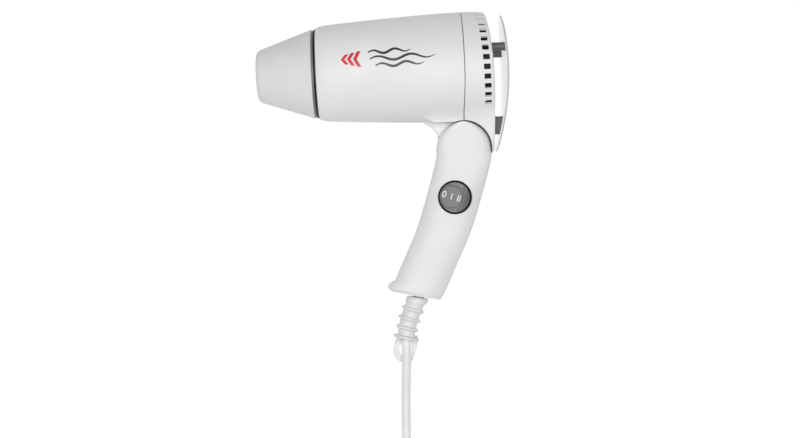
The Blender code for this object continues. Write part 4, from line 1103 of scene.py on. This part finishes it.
def handle_sections(inset):
    """Sections from the top of the round head to the handle's end, drawn in by inset."""
    rings = []
    if inset == 0.0:
        for a in (radians(angle) for angle in HEAD_ANGLES):
            y, reach = PIVOT.y + HEAD_RADIUS * sin(a), HEAD_RADIUS * cos(a)
            edges = (Vector((PIVOT.x + side * reach, y, 0)) for side in (-1, 1))
            rings.append(oval(*edges, HALF_WIDTH, HANDLE_POWER))
    front, back = flat_curve(FRONT_EDGE, 2.0), flat_curve(BACK_EDGE, 2.0)
    for share in (k / 44 for k in range(45)):
        half = HALF_WIDTH + (HANDLE_END_HALF - HALF_WIDTH) * share
        power = HANDLE_POWER + (END_POWER - HANDLE_POWER) * min(1.0, share * 3.0)
        rings.append(inset_oval(at_share(front, share), at_share(back, share), half, power, inset))
    ends = END_SECTIONS if inset == 0.0 else END_SECTIONS[:1]
    for number, (f, b) in enumerate(ends):
        half = HANDLE_END_HALF if number < 2 else HANDLE_END_HALF - 1.8
        rings.append(inset_oval(Vector((*f, 0.0)), Vector((*b, 0.0)), half, END_POWER, inset))
    return rings


def neck_slot():
    """Room for the neck: a disc for its eye and a sector that its root sweeps as the handle folds."""
    eye = upright_rod(PIVOT, [(-CHEEK_INNER, EYE_RADIUS + 1.0), (CHEEK_INNER, EYE_RADIUS + 1.0)], 96)
    outline = [(PIVOT.x, PIVOT.y), *arc(PIVOT, SLOT_RADIUS, *SLOT_ANGLES, 48)]
    return joined(eye, prism(outline, -CHEEK_INNER, CHEEK_INNER))


RELIEF_ROUTE = [(-33.6, -151.8), (-38.4, -163.2), (-42.9, -172.2), (-45.6, -179.0), (-47.5, -185.5),
                (-48.6, -193.4)]
RIB_PLACES = (10.0, 17.2, 24.0, 31.0)
RELIEF_NECK = 5.4


def relief_line():
    return flat_curve(RELIEF_ROUTE, 0.5)


def handle_cover(side):
    """One half of the handle's shell: side 1 carries the switch, side -1 the screw heads."""
    split = GAP / 2
    low, high = (split, 30.0) if side > 0 else (-30.0, -split)
    near_side = block((-90.0, -190.0, low), (50.0, -20.0, high))
    shell = combined(loft(handle_sections(0.0)), near_side, "INTERSECT")
    inner = [ring for ring in handle_sections(WALL + 0.2)
             if sum(p.y for p in ring) / len(ring) < PIVOT.y - 17.0]
    shell = cut(shell, loft(inner), neck_slot())
    line = relief_line()[:40]
    tools = [swept(line, [RELIEF_NECK + 0.4] * len(line), 48),
             upright_rod(PIVOT, [(-14.8, PIN_RADIUS + 0.3), (14.8, PIN_RADIUS + 0.3)])]
    if side > 0:
        well = BEZEL_RADIUS - 0.5
        tools.append(upright_rod(SWITCH_CENTRE, [(9.0, well), (30.0, well)], 96))
        return cut(shell, *tools)
    shell = cut(shell, *tools)
    counterbore = [(-30.0, 4.0), (-15.9, 3.5), (-11.0, 3.5), (-10.9, 1.8), (1.0, 1.8)]
    for place in SCREWS.values():
        shell = joined(shell, upright_rod(place, [(-15.6, 4.6), (-0.3, 4.6)], 48))
        shell = cut(shell, upright_rod(place, counterbore, 48))
    return shell


def screw(place):
    """A pan-head screw with a cross recess, low in its counterbore."""
    stations = [(-13.4, 1.6), (-13.0, 2.6), (-12.4, 3.0), (-11.3, 3.0), (-11.2, 1.5), (7.5, 1.5)]
    x, y = place
    arms = [block((x - a, y - b, -14.0), (x + a, y + b, -12.2)) for a, b in ((1.7, 0.32), (0.32, 1.7))]
    return cut(upright_rod(place, stations, 40), joined(*arms))


# ---- switch

SWITCH_CENTRE = Vector((-9.4, -93.3, 0.0))
SWITCH_LEAN = radians(19.4)
BEZEL_RADIUS = 12.0
ROCKER_RADIUS = 10.8
SWITCH_FACE = 17.6
DISH_CENTRE = (-2.6, -0.4)
DISH_RADIUS = 8.2
SWITCH_SPACE = DESIGN @ Matrix.Translation(SWITCH_CENTRE) @ Matrix.Rotation(-SWITCH_LEAN, 4, "Z")


def switch_ring():
    """The black rim round the rocker, rounded over its top."""
    inner, outer = ROCKER_RADIUS + 0.3, BEZEL_RADIUS
    stem = outer - 0.8
    low, seat, top = SWITCH_FACE - 7.6, SWITCH_FACE + 0.2, SWITCH_FACE + 0.9
    profile = [(low, stem), (seat, stem), (seat, outer), (seat + 0.3, outer), (top - 0.1, outer - 0.3),
               (top, outer - 0.6), (top - 0.1, inner + 0.1), (seat, inner), (low, inner)]
    return loft([[(r * x, r * y, z) for z, r in profile] for x, y in circle(1.0, 128)], closed=True)


def rocker_height(x, y):
    """The rocker's face: a round dish toward the nozzle with a fine raised edge, and a wedge beyond it."""
    off = hypot(x - DISH_CENTRE[0], y - DISH_CENTRE[1]) / DISH_RADIUS
    height = SWITCH_FACE - 0.35
    height -= 0.55 * max(0.0, 1.0 - off**2)
    height += 0.30 * exp(-((off - 1.0) * DISH_RADIUS / 0.42) ** 2)
    ridge, slope = 6.4, 3.2
    height += 1.1 * smooth_step((x - ridge + slope) / slope) * smooth_step((off - 0.96) / 0.2)
    height -= 0.60 * max(0.0, x - ridge)
    return height


def rocker_button():
    """The rocker: a face of fine rings, a rounded rim and a hollow-looking skirt below."""
    sides, steps, rim = 128, 44, 0.5
    levels = [((ROCKER_RADIUS - rim) * k / steps, 0.0) for k in range(1, steps + 1)]
    levels += [(ROCKER_RADIUS - rim + rim * sin(a), rim * (1 - cos(a))) for a in quarter(3)[1:]]
    rings = []
    for radius, drop in levels:
        rings.append([(x, y, rocker_height(x, y) - drop) for x, y in circle(radius, sides)])
    for radius, drop in ((ROCKER_RADIUS, 3.4), (6.5, 4.6)):
        rings.append([(x, y, SWITCH_FACE - drop) for x, y in circle(radius, sides)])
    return loft(rings[::-1])


def on_rocker(x, y, lift):
    return Vector((x, y, rocker_height(x, y) + lift))


def rocker_marks():
    """The pale marks 0, I and II, in a row across the handle."""
    def even(_):
        return 0.65

    zero = [(-7.9 + 1.05 * cos(a), 2.05 * sin(a)) for a in all_round(40)]
    marks = [stroke(zero, even, on_rocker, ROCKER_INK, closed=True)]
    bar = 2.2
    for x in (-2.4, 2.1, 3.6):
        points = [(x, -bar + 2 * bar * k / 12) for k in range(13)]
        marks.append(stroke(points, even, on_rocker, ROCKER_INK))
    return together(marks)


# ---- strain relief and its loop

# Places along the relief, counted from the outside of the handle's end
FLANGE_END = -9.2
GROOVE_START = -1.6
COLLAR = (0.6, 4.9)
RIB_HALF = 1.25
# Radii of the relief
FLANGE_RADIUS = 8.2
GROOVE_RADIUS = 4.0
COLLAR_RADIUS = 7.8
SLEEVE_START = 6.6
SLEEVE_TAPER = 0.5
RIB_RADII = (8.1, 8.1, 8.1, 9.3)
LOOP_TOP = -191.5
LOOP_OUTER = [(-55.4, -191.5), (-58.1, -199.5), (-58.2, -204.5), (-56.2, -208.2), (-52.0, -210.4),
              (-46.8, -211.0), (-44.2, -208.6), (-41.6, -201.0), (-39.6, -191.5)]
LOOP_INNER = [(-51.8, -196.6), (-53.4, -198.2), (-53.8, -202.8), (-52.6, -205.2), (-46.8, -206.6),
              (-45.2, -204.0), (-44.5, -196.4), (-45.8, -194.8)]
LOOP_Z = (-8.0, -5.2)


def relief_radius(s):
    """The relief's radius at s along it."""
    if s < FLANGE_END:
        return FLANGE_RADIUS
    if s < COLLAR[0]:
        return RELIEF_NECK if s < GROOVE_START else GROOVE_RADIUS
    if s < COLLAR[1]:
        return COLLAR_RADIUS
    sleeve = SLEEVE_START - SLEEVE_TAPER * s / RIB_PLACES[-1]
    radius = sleeve
    for rib, top in zip(RIB_PLACES, RIB_RADII):
        off = abs(s - rib)
        radius = max(radius, top - (off / RIB_HALF) ** 4, sleeve + 0.9 * max(0.0, 1.0 - off / 2.6) ** 2)
    return radius


def relief_tilt(s):
    """How far the sections lean: first with the handle's end, most at the first rib, then less and less."""
    if s < RIB_PLACES[0]:
        return radians(12.0 + 9.0 * smooth_step((s - COLLAR[1]) / (RIB_PLACES[0] - COLLAR[1])))
    return radians(21.0 - 7.0 * (s - RIB_PLACES[0]) / (RIB_PLACES[-1] - RIB_PLACES[0]))


def relief_sleeve():
    """The ribbed sleeve, with the loop that the dryer hangs from behind the cord."""
    line = relief_line()
    length = sum((b - a).length for a, b in zip(line, line[1:]))
    outside = (Vector(RELIEF_ROUTE[1]) - Vector(RELIEF_ROUTE[0])).length
    places = []
    s = -outside + 0.8
    while s < length - outside - 0.4:
        places.append(s)
        s += 0.25
    edges = [FLANGE_END, GROOVE_START, COLLAR[0], COLLAR[1]]
    places = [s for s in places if min(abs(s - edge) for edge in edges) > 0.12]
    places = sorted(places + [edge + n for edge in edges for n in (-0.03, 0.03)])
    rings = []
    for s in places:
        centre, tilt = at_share(line, (s + outside) / length), relief_tilt(s)
        across = Vector((cos(tilt), -sin(tilt), 0.0))
        rings.append([centre + across * x + Vector((0.0, 0.0, z)) for x, z in circle(relief_radius(s), 56)])
    return joined(loft(rings), hanging_loop())


def hanging_loop():
    """A flat strap behind the cord that hangs in a U, with one arm broader than the other."""
    low, high = LOOP_Z
    outer, inner = (rounded(outline, 1.6, 4) for outline in (LOOP_OUTER, LOOP_INNER))
    loop = cut(soft_prism(outer, low, high, 0.6), prism(inner, low - 1.0, high + 1.0))
    x = RELIEF_ROUTE[-1][0]
    foot = block((x - 6.5, LOOP_TOP - 1.0, low + 0.1), (x + 6.5, LOOP_TOP + 1.4, -2.0))
    return joined(foot, loop)


# ---- assembly


def make_head():
    piece("barrel_cover", barrel_cover(), "head", "white_shell", ["barrel_shell"], sharp=28.0)
    piece("rear_cover", rear_cover(), "head", "white_shell", ["rear_housing"], sharp=28.0)
    piece("intake_basket", intake_basket(), "head", "black_plastic", ["inlet_screen"])
    piece("guard_dome", guard_dome(), "head", "guard_grey", ["rear_guard"])
    piece("guard_post_a", upper_post(1), "head", "post_grey", ["post_upper_left"])
    piece("guard_post_b", upper_post(-1), "head", "post_grey", ["post_upper_right"])
    piece("guard_post_c", lower_post(), "head", "post_grey", ["post_lower"])
    piece("spigot_ring", spigot_ring(), "head", "black_plastic", ["front_ring"])
    piece("outlet_guard", outlet_guard(), "head", "black_plastic", ["outlet_grille"])
    piece("nozzle_cone", nozzle_cone(), "nozzle", "nozzle_grey", ["nozzle"], sharp=40.0)
    # a dark band of painted shade over the nozzle's collar, for the shadow in the groove
    piece("nozzle_painted_shade_band", nozzle_painted_shade_band(), "nozzle", "rocker_grey")
    piece("mark_chevrons", red_chevrons(), "head", None, finish="red_ink")
    piece("mark_air_lines", air_lines(), "head", None, finish="dark_ink")


def make_handle():
    piece("handle_cover_a", handle_cover(1), "handle", "white_shell", ["handle_left_shell"])
    piece("handle_cover_b", handle_cover(-1), "handle", "white_shell", ["handle_right_shell"])
    for number, (node, place) in enumerate(SCREWS.items()):
        piece(f"case_screw_{number + 1}", screw(place), "handle", "steel", [node])
    piece("switch_ring", switch_ring(), "handle", "black_plastic", ["switch_bezel"], SWITCH_SPACE)
    piece("rocker_button", rocker_button(), "rocker", "rocker_grey", ["switch_rocker"], SWITCH_SPACE, 50.0)
    piece("rocker_marks", rocker_marks(), "rocker", None, (), SWITCH_SPACE, finish="pale_ink")
    piece("relief_sleeve", relief_sleeve(), "handle", "relief_white", ["strain_relief"])


def finish_nodes():
    """The nodes that stay as they are get the same materials as the pieces."""
    for name, node in frame["nodes"].items():
        node.data.materials.clear()
        node.data.materials.append(FINISHES[NODE_SLOTS[name]])
        node.data.shade_smooth()
        node.data.set_sharp_from_angle(angle=radians(SHARP_ANGLE))


# ---- table and light


def make_table():
    bm = bmesh.new()
    half = 3.0
    bm.faces.new([bm.verts.new((x, y, -0.0003)) for x, y in rectangle(-half, -half, half, half)])
    mesh = as_mesh("table_top", bm)
    mesh.materials.append(table_top("table_top", (0.20, 0.20, 0.20)))
    placed("table_top", mesh)


def make_light():
    """One large square softbox that faces the middle of the dryer, and a faint even light all round."""
    data = bpy.data.lights.new("key_light", "AREA")
    data.size = 1.1
    data.energy = 20.5
    made = placed("key_light", data)
    made.location = DESIGN @ Vector((-60.0, -90.0, 1500.0))
    toward = DESIGN @ Vector((-30.0, -60.0, 0.0)) - made.location
    made.rotation_mode = "QUATERNION"
    made.rotation_quaternion = toward.to_track_quat("-Z", "Y")
    world = bpy.data.worlds.new("studio")
    world.use_nodes = True
    set_inputs(world.node_tree.nodes["Background"], {"Color": PURE_WHITE, "Strength": 0.2})
    bpy.context.scene.world = world
    bpy.context.scene.view_settings.view_transform = "Standard"


make_camera()
make_cord()
finish_nodes()
make_head()
make_handle()
make_table()
make_light()
